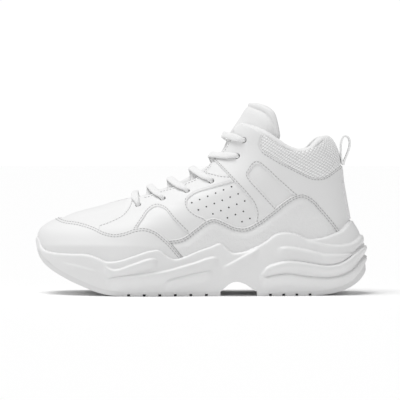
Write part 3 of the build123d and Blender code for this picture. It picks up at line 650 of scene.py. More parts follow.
guardPuff = 0.35 * ramp(4, 14, guard)
leatherPanel("toe_guard_leather", np.minimum(guard, aboveSunk), 0, panels["guardHeight"], materials["guard"],
             seam=guard, puff=guardPuff, nodes=["toe_guard"])
notGuard = -guard
eyestay = np.minimum.reduce([leather, notGuard + 2, -foxing + 2, -front, -ahead, underEnd, -windows["front"],
                             -windows["vents"]])
eyestaySeam = np.minimum.reduce([np.abs(ahead), np.abs(windows["front"]), np.abs(windows["vents"]),
                                 np.abs(underEnd)])
ankle = np.minimum.reduce([leather, front, -windows["ankle"], -foxing + 2])
ankleSeam = np.minimum.reduce([np.abs(front), np.abs(windows["ankle"]),
                               np.abs(underLine(lines["meshBottom"], x, z))])
foxingField = np.minimum.reduce([foxing, notGuard, aboveSunk])
foxingPuff = 0.9 * ramp(4.6, 10, foxing) - 0.35 * np.exp(-(((foxing - 4.6) / 1.2) ** 2))
for side in sides:
    leatherPanel(side + "_eyestay_leather", np.minimum(eyestay, onSide[side]), 0, panels["leatherHeight"],
                 materials["overlay"], seam=eyestaySeam, nodes=[side + "_eyestay"])
    leatherPanel(side + "_ankle_quarter_leather", np.minimum(ankle, onSide[side]), 0, panels["leatherHeight"],
                 materials["overlay"], seam=ankleSeam, nodes=[side + "_ankle_quarter"])
    leatherPanel(side + "_foxing_leather", np.minimum(foxingField, onSide[side]), 0, panels["foxingHeight"],
                 materials["foxing"], seam=foxing, puff=foxingPuff, nodes=[side + "_foxing"])
print("overlays")


# midsole
soleLook = {"rimCurl": 2.2, "ledge": 5.0, "step": 2.4, "lobe": 3.2}
ridges = [
    ([(-88, 30.4), (-85.2, 28.1), (-81.6, 25.8), (-77.9, 24.6), (-73.3, 25.1), (-65, 28.1), (-55.8, 31.3),
      (-49.3, 33.6), (-43.8, 34.6), (-40.1, 34.1), (-38.2, 32.7)], 1.0, 9),
    ([(-85.2, 15.2), (-78.8, 17), (-69.6, 18.4), (-55.8, 19.8), (-46.5, 21.2), (-37.3, 22.6), (-28.1, 24.4),
      (-18.9, 26.9), (-9.7, 29.5), (-0.5, 32.3), (4.1, 34.1), (8.8, 35.2), (12.4, 35.8), (17, 34.4)], 1.0, 12),
    ([(-33.2, 12), (-30.9, 13.8), (-26.3, 15.7), (-18.9, 17.5), (-9.7, 19.4), (4.1, 22.1),
      (11.5, 23.5)], 0.8, 9),
    ([(-125.8, 30.9), (-110, 27.5), (-92.6, 23.5)], 0.35, 9),
    ([(19.8, 27.6), (23.5, 28.6), (29, 31.3), (36.4, 35.5), (42.8, 38.9), (48.4, 41.7), (53, 44.2)], 0.8, 9),
    ([(95.4, 52.1), (100.9, 49.8), (110.1, 47.5), (119.3, 46.1), (128.5, 46.1), (137.8, 47.9),
      (142.4, 50.7), (145.6, 53.4), (160, 56)], 0.5, 7),
    ([(69.6, 43.8), (77.9, 44.7), (91.7, 42.8), (110.1, 38.2)], 0.6, 7),
    ([(53, 18.9), (55.8, 21.7), (58.5, 25.3), (63.1, 28.1), (68.7, 29.9), (75.1, 31.5), (82.5, 31.9),
      (91.7, 30.9), (100.9, 29.5), (110.1, 28.1), (119.3, 28.1), (125.8, 29.5), (131.3, 32.3),
      (136.8, 36.4), (141.5, 40.1), (145.1, 42.8), (147.9, 44.2), (160, 46)], 1.0, 8),
    ([(53, 18), (59.4, 17.5), (65.9, 18.9), (73.3, 20), (82.5, 20), (91.7, 18.4), (100.9, 17.3),
      (119.3, 16.8), (125.8, 18), (131.3, 19.8), (136.8, 22.6), (141.5, 26.7), (145.1, 30.9), (149.7, 35),
      (160, 38)], 1.0, 10),
]
lobes = [(8, 7, 48), (7, 5, 96), (7, 6, 62)]


def heightOf(line, at):
    p = densify(line)
    order = np.argsort(p[:, 0])
    return np.interp(at, p[order, 0], p[order, 1])


foam = surfaceGrid(sole, np.arange(-1, 74, 0.8), 1.0)
fx, fz = foam["x"], foam["z"]
underRim = underLine(lines["rim"], fx, fz)
rimHeight = heightOf(lines["rim"], fx)
soleField = np.minimum(underRim + soleLook["ledge"], -underLine(lines["rubber"], fx, fz))
swell = np.zeros(fx.shape)
for line, share, decay in ridges:
    below = underLine(line, fx, fz)
    first, final = line[0][0], line[-1][0]
    along = ramp(first - 1, first + 7, fx) * (1 - ramp(final - 7, final + 1, fx) * (final < 150))
    swell += soleLook["step"] * share * ramp(-0.3, 1.2, below) * (1 - ramp(1.5, decay + 1.5, below)) * along
for lowRidge, highRidge, start in lobes:
    low, high = heightOf(ridges[lowRidge][0], fx), heightOf(ridges[highRidge][0], fx)
    q = np.clip((fz - low) / np.maximum(high - low, 1), 0, 1)
    swell += soleLook["lobe"] * 0.5 * (4 * q * (1 - q)) ** 0.6 * ramp(start, start + 25, fx)
swell *= ramp(0, 3, underRim) * ramp(0, 2.5, -underLine(lines["rubber"], fx, fz) + 0.6)
curl = soleLook["rimCurl"]
bend = (curl - np.clip(underRim, 0, curl)) / curl
sunk = np.where(underRim > curl, 0, curl * (1 - np.sqrt(np.clip(1 - bend**2, 0, 1))))
over = np.clip(fz - rimHeight, 0, None)
depth = swell - sunk - over * 1.0
points = foam["points"] + foam["normals"] * depth[..., None]
points[..., 2] = np.minimum(points[..., 2], rimHeight)
toeRise = [(7.2, -104), (13.2, -118), (20.6, -132), (28.5, -143), (34, -147.5), (43, -151),
           (54, -153.5)]
toeFront = np.interp(points[..., 2], *zip(*toeRise))
points[..., 0] = np.maximum(points[..., 0], toeFront - 0.1)
places, faces = fieldMesh(foam, soleField, [0, 0.5])
makePiece("midsole_foam", sampleGrid(points, places), faces, materials["foam"], nodes=["midsole"])

rubber = densify(lines["rubber"])
rubberX = np.linspace(-150, 150, 301)
rubberZ = np.interp(rubberX, rubber[:, 0], rubber[:, 1]) + 0.15
strip = []
for px, pz in zip(rubberX, rubberZ):
    ends = [ringPoint(sole, angleAt(sole, px, pz, side), pz)[1] for side in (1, -1)]
    strip.append([(px, ends[0] + (ends[1] - ends[0]) * t, pz) for t in np.linspace(0, 1, 13)])
strip = np.array(strip)
ids = np.arange(strip.shape[0] * 13).reshape(-1, 13)
quads = [(ids[i, j], ids[i, j + 1], ids[i + 1, j + 1], ids[i + 1, j])
         for i in range(len(ids) - 1) for j in range(12)]
makePiece("midsole_underside", strip.reshape(-1, 3), quads, materials["foam"], nodes=["midsole"])
print("midsole")


# collar
collarLook = {"out": 0.9, "inner": -7.6, "thinOut": 0.1, "thinInner": -3.4, "puff": 1.1, "rise": 4.6,
              "groove": 0.8}


def lineOnColumn(line, angle, low, high):
    # the height where a side-view line meets each column of the last
    levels = np.arange(low, high, 0.25)
    a, h = np.meshgrid(angle, levels)
    px = ringPoint(last, a, h)[..., 0]
    p = densify(line)
    gap = np.interp(px, p[:, 0], p[:, 1]) - h
    return levels[np.argmax(gap <= 0, axis=0)] + gap[np.argmax(gap <= 0, axis=0), np.arange(len(angle))]


topLine = lines["collarTop"] + [(150, 146.6)]
lowLine = [(28, 146.5), (34, 149.5), (44, 149.5), (52, 143), (55, 134), (66, 122.5), (82, 113.6),
           (92, 108.7), (103, 104), (111, 104), (121, 109), (129, 114.5), (150, 126)]
innerLine = [(28, 146), (40, 147), (48, 141), (52, 133), (56, 124), (62, 113), (75, 103), (95, 96),
             (150, 94)]
start = float(angleAt(last, 31.5, 153, 1))
columns = np.linspace(start, 2 * math.pi - start, 420)
turned = np.where(columns > math.pi, columns - 2 * math.pi, columns)
top = lineOnColumn(topLine, turned, 120, 165)
bottom = lineOnColumn(lowLine, turned, 90, 158)
innerFoot = lineOnColumn(innerLine, turned, 80, 158)
columnX = ringPoint(last, turned, top)[:, 0]
endFade = ramp(52, 68, columnX)
inner = collarLook["thinInner"] + (collarLook["inner"] - collarLook["thinInner"]) * ramp(28, 52, columnX)
out = collarLook["thinOut"] + (collarLook["out"] - collarLook["thinOut"]) * ramp(50, 62, columnX)
edgeLine = [(31.3, 149.7), (34, 153.2), (40, 154.7), (44, 153.8), (54.2, 148), (55.6, 134),
            *lines["meshBottom"][4:]]
leatherEdge = lineOnColumn(edgeLine, turned, 100, 158)
run = np.concatenate([[0], np.cumsum(np.linalg.norm(np.diff(ringPoint(last, turned, top), axis=0), axis=1))])
half = (out - inner) / 2
centreDepth = (out + inner) / 2
rise = np.minimum(half * 0.95, collarLook["rise"])
shoulder = top - rise
knitEdge = lineOnColumn(lines["meshTop"] + [(150, 144.3)], turned, 100, 165)
profile = []
for t in np.linspace(0, 1, 46):
    h = bottom - 1.5 + (shoulder - bottom + 1.5) * t
    tuck = ramp(leatherEdge - 2.5, leatherEdge + 0.8, h)
    climb = np.clip((h - leatherEdge) / (knitEdge - leatherEdge), 0, 1)
    puff = collarLook["puff"] * np.sin(math.pi * climb) ** 0.7 * endFade
    groove = collarLook["groove"] * np.exp(-(((knitEdge - h) / 0.9) ** 2)) * endFade
    profile.append((h, -1.7 + (out + 1.7) * tuck + puff - groove, 0, h))
for t in np.linspace(0, 1, 21)[1:]:
    angle = math.pi * t
    h = shoulder + rise * math.sin(angle)
    profile.append((h, centreDepth + half * math.cos(angle), 0 if t < 0.62 else 1, shoulder + 8 * t))
for t in np.linspace(0, 1, 40)[1:]:
    h = shoulder + (innerFoot - shoulder) * t
    taper = ramp(0.72, 1.0, np.full(len(h), t))
    profile.append((h, inner - 0.9 * math.sin(math.pi * min(t / 0.8, 1)) * endFade + (-3.3 - inner) * taper,
                    1, h))
profile.append((innerFoot * 0.5 + (bottom - 1.5) * 0.5, np.full(len(columns), -2.7), 1, profile[-1][0]))
grid = []
for h, d, tag, v in profile:
    grid.append(ringPoint(last, turned, h)
                + ringNormal(last, turned, h) * np.broadcast_to(d, h.shape)[:, None])
grid = np.array(grid)
count, width = grid.shape[:2]
ids = np.arange(count * width).reshape(count, width)
faces, faceSides = [], []
for i in range(count):
    for j in range(width - 1):
        k = (i + 1) % count
        faces.append((ids[i, j], ids[i, j + 1], ids[k, j + 1], ids[k, j]))
        faceSides.append(profile[i][2])
points = grid.reshape(-1, 3)
for column, order in ((0, 1), (width - 1, -1)):
    middle = len(points)
    points = np.concatenate([points, [grid[:, column].mean(0)]])
    for i in range(count):
        a, b = ids[i, column], ids[(i + 1) % count, column]
        faces.append((middle, a, b) if order == 1 else (middle, b, a))
        faceSides.append(0)
knitTop = densify(lines["meshTop"] + [(150, 144.3)])
pad = makePiece("collar_pad", points, faces, materials["knit"],
                nodes=["collar_mesh", "collar_foam", "collar_lining", "collar_roll"])
pad.data.materials.append(materials["lining"])
for polygon in pad.data.polygons:
    centre = polygon.center
    edgeHere = np.interp(centre.x / mm, knitTop[:, 0], knitTop[:, 1])
    onKnit = faceSides[polygon.index] == 0 and centre.z / mm < edgeHere
    polygon.material_index = 0 if onKnit else 1
cloth = np.zeros((len(points), 3))
cloth[:count * width, 0] = np.tile(run, count)
cloth[:count * width, 2] = np.concatenate([np.broadcast_to(v, (width,)) for _, _, _, v in profile])
if len(pad.data.vertices) == len(points):
    pad.data.attributes.new("cloth", "FLOAT_VECTOR", "POINT").data.foreach_set("vector", (cloth * mm).ravel())
print("collar", len(pad.data.vertices), len(points))


# tongue
tongueLook = {"rows": 150, "across": 72, "thin": 4.5, "thicker": 4.0, "groove": 1.0, "puff": 0.8}
seamBack = [(30, 178), (43.8, 172.3), (49.3, 170), (54.8, 166.3), (60.4, 160.8), (63.1, 157.1), (65, 150.7),
            (65.9, 140), (64, 132)]
tongueEdge = [(-94, 76), (-75, 75.5), (-57, 76.5), (-34, 79), (-12, 86), (10, 95), (34, 113), (50, 125),
              (63, 134), (71.5, 143.3), (70, 152.5), (67, 160), (64, 165.4), (59.4, 170), (54.8, 173),
              (50.2, 175.2), (45, 176.6)]


def faceDepth(angle, height, px, py):
    under = -3.8 - 4.1 * ramp(-84, -66, px)
    risen = ramp(-72, -52, px) * (6 + ramp(100, 160, height))
    reach = 6.5 + 9.5 * ramp(110, 160, height)
    return under + risen * np.exp(-(((py - curveAt(middleLine, px)) / reach) ** 2))


edge = densify(tongueEdge, 0.5)
levels = np.interp(np.linspace(0, 1, tongueLook["rows"]), np.linspace(0, 1, len(edge)), edge[:, 1])
edgeX = np.interp(np.linspace(0, 1, tongueLook["rows"]), np.linspace(0, 1, len(edge)), edge[:, 0])
levels = np.maximum.accumulate(levels + np.linspace(0, 1e-3, len(levels)))
half = angleAt(last, edgeX, levels, 1)
across = np.sin(np.linspace(-1, 1, tongueLook["across"]) * math.pi / 2)
across = 0.6 * across + 0.4 * np.linspace(-1, 1, tongueLook["across"])
a = half[:, None] * across[None, :]
h = np.broadcast_to(levels[:, None], a.shape)
shell = ringPoint(last, a, h)
normal = ringNormal(last, a, h)
thick = tongueLook["thin"] + tongueLook["thicker"] * ramp(100, 150, h)
face = faceDepth(a, h, shell[..., 0], shell[..., 1])
roundness = np.sqrt(np.clip(1 - np.abs(across) ** 8, 0, 1))[None, :] * np.ones(a.shape)
endRound = np.sqrt(np.clip(1 - np.clip((np.arange(len(levels)) - len(levels) + 9) / 8, 0, 1) ** 2, 0,
                           1))[:, None]
roundness = roundness * endRound * np.sqrt(np.clip(np.arange(len(levels)) / 4, 0.02, 1))[:, None]
mid = face - thick / 2
seamGap = distanceTo(densify(seamBack), shell[..., 0], shell[..., 2])
groove = tongueLook["groove"] * np.exp(-((seamGap / 0.9) ** 2)) * ramp(118, 150, h)
puff = tongueLook["puff"] * ramp(1.0, 6, seamGap) * ramp(118, 150, h)
frontFace = shell + normal * (mid + thick / 2 * roundness - groove + puff * roundness)[..., None]
rear = shell + normal * (mid - thick / 2 * roundness)[..., None]
rowsN, colsN = a.shape
ids = np.arange(rowsN * colsN).reshape(rowsN, colsN)
faces = []
for i in range(rowsN - 1):
    for j in range(colsN - 1):
        faces.append((ids[i, j], ids[i + 1, j], ids[i + 1, j + 1], ids[i, j + 1]))
        faces.append(tuple(rowsN * colsN + k
                           for k in (ids[i, j], ids[i, j + 1], ids[i + 1, j + 1], ids[i + 1, j])))
borders = [(ids[:, 0], 1), (ids[:, -1], -1), (ids[0, :], -1), (ids[-1, :], 1)]
offset = rowsN * colsN
for border, order in borders:
    for p, q in zip(border[:-1], border[1:]):
        quad = (p, p + offset, q + offset, q)
        faces.append(quad if order == 1 else quad[::-1])
tonguePoints = np.concatenate([frontFace.reshape(-1, 3), rear.reshape(-1, 3)])
tongue = makePiece("tongue_pad", tonguePoints, faces, materials["tongue"], body=None,
                   nodes=["tongue_face", "tongue_foam", "tongue_lining", "tongue_flap_face",
                          "tongue_flap_foam", "tongue_flap_lining"], flip=True)
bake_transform(tongue)
print("tongue")


# laces
laceLook = {"out": 3.4, "in": -5.4, "wide": 3.3, "thick": 1.35, "eyeletWide": 1.9, "sides": 18, "step": 1.1}
ridgeHeights = [91, 95, 102, 112, 125, 145]


def at(px, pz, side, off):
    a = angleAt(last, px, pz, side)
    return ringPoint(last, a, pz) + ringNormal(last, a, pz) * off


def ridge(height, off, y):
    p = ringPoint(last, 0.0, height) + ringNormal(last, 0.0, height) * off
    px = float(curveAt(last["front"], height))
    return np.array([p[0] + 0.012 * y * y, float(curveAt(middleLine, px)) + y, p[2] - 0.03 * y * y])


def crossing(first, side):
    (x0, z0), (x1, z1) = eyelets[first], eyelets[first + 1]
    height = ridgeHeights[first + 1]
    xTop = float(curveAt(last["front"], height))
    lift = 1.9 if side == 1 else 5.3
    leave = at(x0 + 0.74 * (xTop - x0), z0 + 0.74 * (height - z0), side, laceLook["in"])
    land = at(x1 + 0.55 * (xTop - x1), z1 + 0.55 * (height - z1), -side, laceLook["out"])
    return [leave, ridge(height, lift, -5 * side), ridge(height, lift, 5 * side), land,
            at(x1, z1, -side, laceLook["out"]), at(x1, z1, -side, laceLook["in"])]


def laceRoute():
    px, pz = eyelets[0]
    halves = {}
    for side in (1, -1):
        route = [ridge(ridgeHeights[0], 3.4, -5 * side), at(px - 3, pz + 7, side, laceLook["out"]),
                 at(px, pz, side, laceLook["out"]), at(px, pz, side, laceLook["in"])]
        here = side
        for first in range(5):
            route += crossing(first, here)
            here = -here
        halves[side] = route + [at(tx, tz, here, laceLook["in"]) for tx, tz in [(44.5, 134), (46.5, 124),
                                                                                (47, 112)]]
    return np.array(halves[1][::-1] + halves[-1])


def roundCorners(route, step):
    # every corner becomes a smooth bend that takes up to 0.45 of its runs
    path = [route[0]]
    for before, here, after in zip(route, route[1:], route[2:]):
        reach = 0.45 * min(np.linalg.norm(here - before), np.linalg.norm(after - here))
        a = here + (before - here) / np.linalg.norm(before - here) * reach
        b = here + (after - here) / np.linalg.norm(after - here) * reach
        for t in np.linspace(0, 1, 9):
            path.append((1 - t) ** 2 * a + 2 * t * (1 - t) * here + t * t * b)
    path.append(route[-1])
    path = np.array(path)
    run = np.concatenate([[0], np.cumsum(np.linalg.norm(np.diff(path, axis=0), axis=1))])
    t = np.linspace(0, run[-1], int(run[-1] / step))
    return np.stack([np.interp(t, run, path[:, k]) for k in range(3)], axis=1), t


path, run = roundCorners(laceRoute(), laceLook["step"])
for _ in range(3):
    path[1:-1] = (path[:-2] + 2 * path[1:-1] + path[2:]) / 4
tangent = np.gradient(path, axis=0)
tangent /= np.linalg.norm(tangent, axis=1, keepdims=True)
side = np.where(path[:, 1] < curveAt(middleLine, path[:, 0]), 1, -1)
height = np.clip(path[:, 2], 60, 160)
angles = angleAt(last, np.clip(path[:, 0], curveAt(last["front"], height) + 0.2, 120), height, side)
up = ringNormal(last, angles, height)
away = up - (up * tangent).sum(1, keepdims=True) * tangent
length = np.linalg.norm(away, axis=1, keepdims=True)
# where the lace dives through an eyelet the surface normal says nothing, so its flat side keeps the last
# direction
good = (length[:, 0] > 0.45)
index = np.maximum.accumulate(np.where(good, np.arange(len(path)), 0))
back = np.minimum.accumulate(np.where(good, np.arange(len(path)), len(path) - 1)[::-1])[::-1]
blendIn = np.where(np.arange(len(path)) - index < back - np.arange(len(path)), index, back)
away = np.where(good[:, None], away / np.maximum(length, 1e-6), 0)
filled = away[blendIn]
for _ in range(6):
    filled = np.concatenate([filled[:1], (filled[:-2] + 2 * filled[1:-1] + filled[2:]) / 4, filled[-1:]])
away = filled - (filled * tangent).sum(1, keepdims=True) * tangent
away /= np.linalg.norm(away, axis=1, keepdims=True)
across = np.cross(tangent, away)
nearest = np.full(len(path), 1e9)
for ex, ez in eyelets:
    for s in (1, -1):
        nearest = np.minimum(nearest, np.linalg.norm(path - at(ex, ez, s, -1), axis=1))
wide = laceLook["eyeletWide"] + (laceLook["wide"] - laceLook["eyeletWide"]) * ramp(3, 11, nearest)
wide *= 1 + 0.04 * np.sin(run / 7.3)
turn = np.linspace(0, 2 * math.pi, laceLook["sides"], endpoint=False)
c, s = np.cos(turn), np.sin(turn)
section = [np.sign(c) * np.abs(c) ** 0.75, np.sign(s) * np.abs(s) ** 0.9]
points = (path[:, None, :] + across[:, None, :] * (wide[:, None, None] * section[0][None, :, None])
          + away[:, None, :] * (laceLook["thick"] * section[1][None, :, None]))
count, width = points.shape[:2]
ids = np.arange(count * width).reshape(count, width)
faces = [(ids[i, j], ids[i, (j + 1) % width], ids[i + 1, (j + 1) % width], ids[i + 1, j])
         for i in range(count - 1) for j in range(width)]
faces += [tuple(ids[0, ::-1]), tuple(ids[-1])]
lace = makePiece("lace_ribbon", points.reshape(-1, 3), faces, materials["lace"], nodes=["lace"])
cloth = np.zeros((count, width, 3))
cloth[..., 0] = run[:, None]
cloth[..., 2] = section[0][None, :] * wide[:, None]
lace.data.attributes.new("cloth", "FLOAT_VECTOR", "POINT").data.foreach_set("vector", (cloth * mm).ravel())
print("lace", len(lace.data.vertices), round(float(run[-1])))


# stitches, and the perforations as painted shade
stitchLook = {"pitch": 3.0, "length": 1.05, "radius": 0.33}


def contour(field, level, keep, depth):
    # where a field has a value, as points on the surface with the leather's depth, and the edges between them
    spots, edges, index = [], [], {}

    def crossingPoint(r0, c0, r1, c1):
        key = (r0, c0, r1, c1)
        if key not in index:
            t = (level - field[r0, c0]) / (field[r1, c1] - field[r0, c0])
            index[key] = len(spots)
            spots.append((r0 + t * (r1 - r0), c0 + t * (c1 - c0)))
        return index[key]

    above = field > level
    mixed = above[:-1, :-1].astype(int) + above[:-1, 1:] + above[1:, 1:] + above[1:, :-1]
    for r, c in np.argwhere((mixed > 0) & (mixed < 4)):
        if not (keep[r, c] > 0 and keep[r + 1, c + 1] > 0):
            continue
        found = []
        for r0, c0, r1, c1 in ((r, c, r, c + 1), (r, c + 1, r + 1, c + 1), (r + 1, c, r + 1, c + 1),
        (r, c, r + 1, c)):
            if above[r0, c0] != above[r1, c1]:
                found.append(crossingPoint(r0, c0, r1, c1))
        if len(found) == 2:
            edges.append(tuple(found))
    if not spots:
        return np.zeros((0, 3)), []
    spots = np.array(spots, float)
    off = sampleGrid(upper["normals"], spots) * sampleGrid(depth, spots)[:, None]
    return sampleGrid(upper["points"], spots) + off, edges


def scatterTree(name, alongCurve):
    # a tree that puts a small mesh along every line (stitches) or at every point (the dark discs of painted
    # shade in the vent holes)
    tree = bpy.data.node_groups.new(name, "GeometryNodeTree")
    tree.interface.new_socket("Geometry", in_out="INPUT", socket_type="NodeSocketGeometry")
    pitch = tree.interface.new_socket("Pitch", in_out="INPUT", socket_type="NodeSocketFloat")
    size = tree.interface.new_socket("Radius", in_out="INPUT", socket_type="NodeSocketFloat")
    halfLong = tree.interface.new_socket("Half Length", in_out="INPUT", socket_type="NodeSocketFloat")
    look = tree.interface.new_socket("Material", in_out="INPUT", socket_type="NodeSocketMaterial")
    tree.interface.new_socket("Geometry", in_out="OUTPUT", socket_type="NodeSocketGeometry")
    nodes, links = tree.nodes, tree.links
    treeIn, treeOut = nodes.new("NodeGroupInput"), nodes.new("NodeGroupOutput")
    place = nodes.new("GeometryNodeInstanceOnPoints")
    aim = nodes.new("FunctionNodeAlignRotationToVector")
    aim.axis = "Z"
    if alongCurve:
        curve = nodes.new("GeometryNodeMeshToCurve")
        resample = nodes.new("GeometryNodeResampleCurve")
        resample.mode = "LENGTH"
        curveTangent = nodes.new("GeometryNodeInputTangent")
        links.new(treeIn.outputs["Geometry"], curve.inputs["Mesh"])
        links.new(curve.outputs["Curve"], resample.inputs["Curve"])
        links.new(treeIn.outputs["Pitch"], resample.inputs["Length"])
        links.new(resample.outputs["Curve"], place.inputs["Points"])
        links.new(curveTangent.outputs["Tangent"], aim.inputs["Vector"])
        shape = nodes.new("GeometryNodeMeshUVSphere")
        shape.inputs["Segments"].default_value = 7
        shape.inputs["Rings"].default_value = 6
        shape.inputs["Radius"].default_value = 1.0
    else:
        links.new(treeIn.outputs["Geometry"], place.inputs["Points"])
        facing = nodes.new("GeometryNodeInputNamedAttribute")
        facing.data_type = "FLOAT_VECTOR"
        facing.inputs["Name"].default_value = "facing"
        links.new(facing.outputs["Attribute"], aim.inputs["Vector"])
        shape = nodes.new("GeometryNodeMeshUVSphere")
        shape.inputs["Segments"].default_value = 14
        shape.inputs["Rings"].default_value = 6
        shape.inputs["Radius"].default_value = 1.0
    stretch = nodes.new("ShaderNodeCombineXYZ")
    for k, socket in enumerate(("Radius", "Radius", "Half Length")):
        links.new(treeIn.outputs[socket], stretch.inputs[k])
    links.new(shape.outputs["Mesh"], place.inputs["Instance"])
    links.new(aim.outputs["Rotation"], place.inputs["Rotation"])
    links.new(stretch.outputs["Vector"], place.inputs["Scale"])
    realize = nodes.new("GeometryNodeRealizeInstances")
    paint = nodes.new("GeometryNodeSetMaterial")
    links.new(place.outputs["Instances"], realize.inputs["Geometry"])
    links.new(realize.outputs["Geometry"], paint.inputs["Geometry"])
    links.new(treeIn.outputs["Material"], paint.inputs["Material"])
    links.new(paint.outputs["Geometry"], treeOut.inputs["Geometry"])
    sockets = {"pitch": pitch, "radius": size, "long": halfLong, "material": look}
    return tree, {label: socket.identifier for label, socket in sockets.items()}


def scatter(name, tree, sockets, linePoints, edges, pitch, radius, halfLong, material, facing=None):
    mesh = bpy.data.meshes.new(name + "_lines")
    mesh.from_pydata((linePoints * mm).tolist(), edges, [])
    if facing is not None:
        mesh.attributes.new("facing", "FLOAT_VECTOR", "POINT").data.foreach_set("vector", facing.ravel())
    carrier = bpy.data.objects.new(name + "_lines", mesh)
    bpy.context.scene.collection.objects.link(carrier)
    modifier = carrier.modifiers.new("scatter", "NODES")
    modifier.node_group = tree
    modifier[sockets["pitch"]] = pitch * mm
    modifier[sockets["radius"]] = radius * mm
    modifier[sockets["long"]] = halfLong * mm
    modifier[sockets["material"]] = material
    bpy.context.view_layer.update()
    done = bpy.data.meshes.new_from_object(carrier.evaluated_get(bpy.context.evaluated_depsgraph_get()))
    done.name = name
    bpy.data.objects.remove(carrier)
    done.polygons.foreach_set("use_smooth", [True] * len(done.polygons))
    piece = bpy.data.objects.new(name, done)
    bpy.context.scene.collection.objects.link(piece)
    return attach(piece, "shoe")


stitchTree, stitchSockets = scatterTree("stitchRow", True)
everywhere = np.full(x.shape, 1.0)
leatherIn = leather - 1.0
overTop = np.full(x.shape, panels["leatherHeight"] + 0.02)
rowsOf = {
    "guard": [(guard, row, everywhere, panels["guardHeight"] + guardPuff) for row in (1.5, 3.3)],
    "foxing": [(foxing, row, np.minimum(notGuard, 131 - x) - 0.5, panels["foxingHeight"] + foxingPuff)
               for row in (1.5, 3.3)],
    "vamp": [(-ahead, 1.6, np.minimum.reduce([leatherIn, notGuard, x + 91]), overTop)],
    "window": [(windows["front"], -1.6, np.minimum.reduce([notGuard, -foxing, leatherIn]), overTop),
               (windows["vents"], -1.7, np.minimum.reduce([-foxing, leatherIn, -front, x * 0.39 + 92 - z]),
                overTop)],
    "ankle": [(front, 1.6, np.minimum(-foxing, leatherIn), overTop),
              (windows["ankle"], -1.6, np.minimum(-foxing, leatherIn), overTop)],
    "collar": [(-underLine(lines["meshBottom"], x, z), -1.7, np.minimum.reduce([x - 56, 137 - x, 145 - z]),
                overTop)],
    "throat": [(-underLine(lines["throat"], x, z), -1.8, np.minimum(x + 52, 30 - x), overTop)],
    "eyestay": [(-underEnd, -1.6, np.minimum.reduce([leatherIn, -front - 0.5, x + 12]), overTop)],
}
for name, groups in rowsOf.items():
    allPoints, allEdges = [], []
    for field, level, keep, rowDepth in groups:
        found, edges = contour(field, level, keep, rowDepth)
        shift = sum(len(p) for p in allPoints)
        allPoints.append(found)
        allEdges += [(a + shift, b + shift) for a, b in edges]
    if allEdges:
        scatter(name + "_stitches", stitchTree, stitchSockets, np.concatenate(allPoints), allEdges,
                stitchLook["pitch"], stitchLook["radius"], stitchLook["length"], materials["thread"])
print("stitches")

# the vent perforations are near-black flat discs on the leather: painted shade where holes would be, none are
# cut
ventLook = {"first": (-7.9, 84.2), "along": (7.2, 2.9), "down": (5.95, -6.45), "radius": 0.75, "flat": 0.12}
ventTree, ventSockets = scatterTree("ventHoleShade", False)
holes, facing = [], []
for row, first, final in [(0, 0, 6), (1, 0, 6), (2, 1, 6), (3, 2, 5), (4, 3, 5)]:
    for column in range(first, final):
        hx, hz = (ventLook["first"][k] + ventLook["along"][k] * column + ventLook["down"][k] * row
                  for k in (0, 1))
        for sideSign in (1, -1):
            holes.append(at(hx, hz, sideSign, panels["windowPuff"] * 0.98))
            facing.append(ringNormal(last, angleAt(last, hx, hz, sideSign), hz))
scatter("vent_hole_shade", ventTree, ventSockets, np.array(holes), [], 1.0, ventLook["radius"], ventLook["flat"],
        materials["dark"], np.array(facing))
print("perforations")


# pieces that keep their CAD shape
keptLooks = {
    "rubber": ["outsole_forefoot", "outsole_heel"], "plastic": ["midfoot_shank", "lace_tips"],
    "board": ["lasting_board"],
    "insole": ["insole"], "lining": ["lining"], "padding": ["toe_puff", "heel_counter"],
    "smooth": ["outer_backing", "inner_backing"], "overlay": ["heel_backstay", "pull_loop_anchor"],
    "webbing": ["pull_loop"],
}
for look, names in keptLooks.items():
    for name in names:
        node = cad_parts[name]
        node.data.materials.clear()
        node.data.materials.append(materials[look])


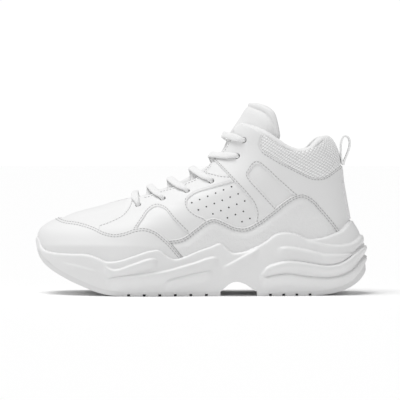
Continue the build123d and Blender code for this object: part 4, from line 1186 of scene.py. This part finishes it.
# floor, light and camera
studio = {"floorTone": 0.97, "skyLight": 0.40, "skySeen": 1.02, "sunEnergy": 2.1, "sunSpread": 34,
          "sunTilt": (7, -14, 0), "lens": 200, "cameraPlace": (-0.0005, -2.05, 0.1254), "cameraDown": 1.1}
floorMesh = bpy.data.meshes.new("floor")
floorMesh.from_pydata([(-30, -30, 0), (30, -30, 0), (30, 30, 0), (-30, 30, 0)], [], [(0, 1, 2, 3)])
floor = bpy.data.objects.new("floor", floorMesh)
bpy.context.scene.collection.objects.link(floor)
floorLook = bpy.data.materials.new("floor")
tree, add, link = nodeTools(floorLook)
surface = add("ShaderNodeBsdfPrincipled", Roughness=0.9)
surface.inputs["Base Color"].default_value = (*[studio["floorTone"]] * 3, 1)
surface.inputs["Specular IOR Level"].default_value = 0.1
link(surface.outputs[0], add("ShaderNodeOutputMaterial").inputs["Surface"])
floorMesh.materials.append(floorLook)

world = bpy.data.worlds.new("studio")
bpy.context.scene.world = world
world.use_nodes = True
sky = world.node_tree.nodes["Background"]
sky.inputs[0].default_value = (1, 1, 1, 1)
seen = world.node_tree.nodes.new("ShaderNodeLightPath")
strength = world.node_tree.nodes.new("ShaderNodeMapRange")
strength.inputs["To Min"].default_value = studio["skyLight"]
strength.inputs["To Max"].default_value = studio["skySeen"]
world.node_tree.links.new(seen.outputs["Is Camera Ray"], strength.inputs["Value"])
world.node_tree.links.new(strength.outputs[0], sky.inputs[1])
sun = bpy.data.lights.new("overhead", "SUN")
sun.energy = studio["sunEnergy"]
sun.angle = math.radians(studio["sunSpread"])
lampPiece = bpy.data.objects.new("overhead", sun)
bpy.context.scene.collection.objects.link(lampPiece)
lampPiece.rotation_euler = [math.radians(turn) for turn in studio["sunTilt"]]
bpy.context.scene.view_settings.view_transform = "Standard"

camera = bpy.data.cameras.new("camera")
camera.lens = studio["lens"]
camera.sensor_width = 36
shot = bpy.data.objects.new("camera", camera)
bpy.context.scene.collection.objects.link(shot)
shot.location = studio["cameraPlace"]
shot.rotation_euler = (math.radians(90 - studio["cameraDown"]), 0, 0)
bpy.context.scene.camera = shot
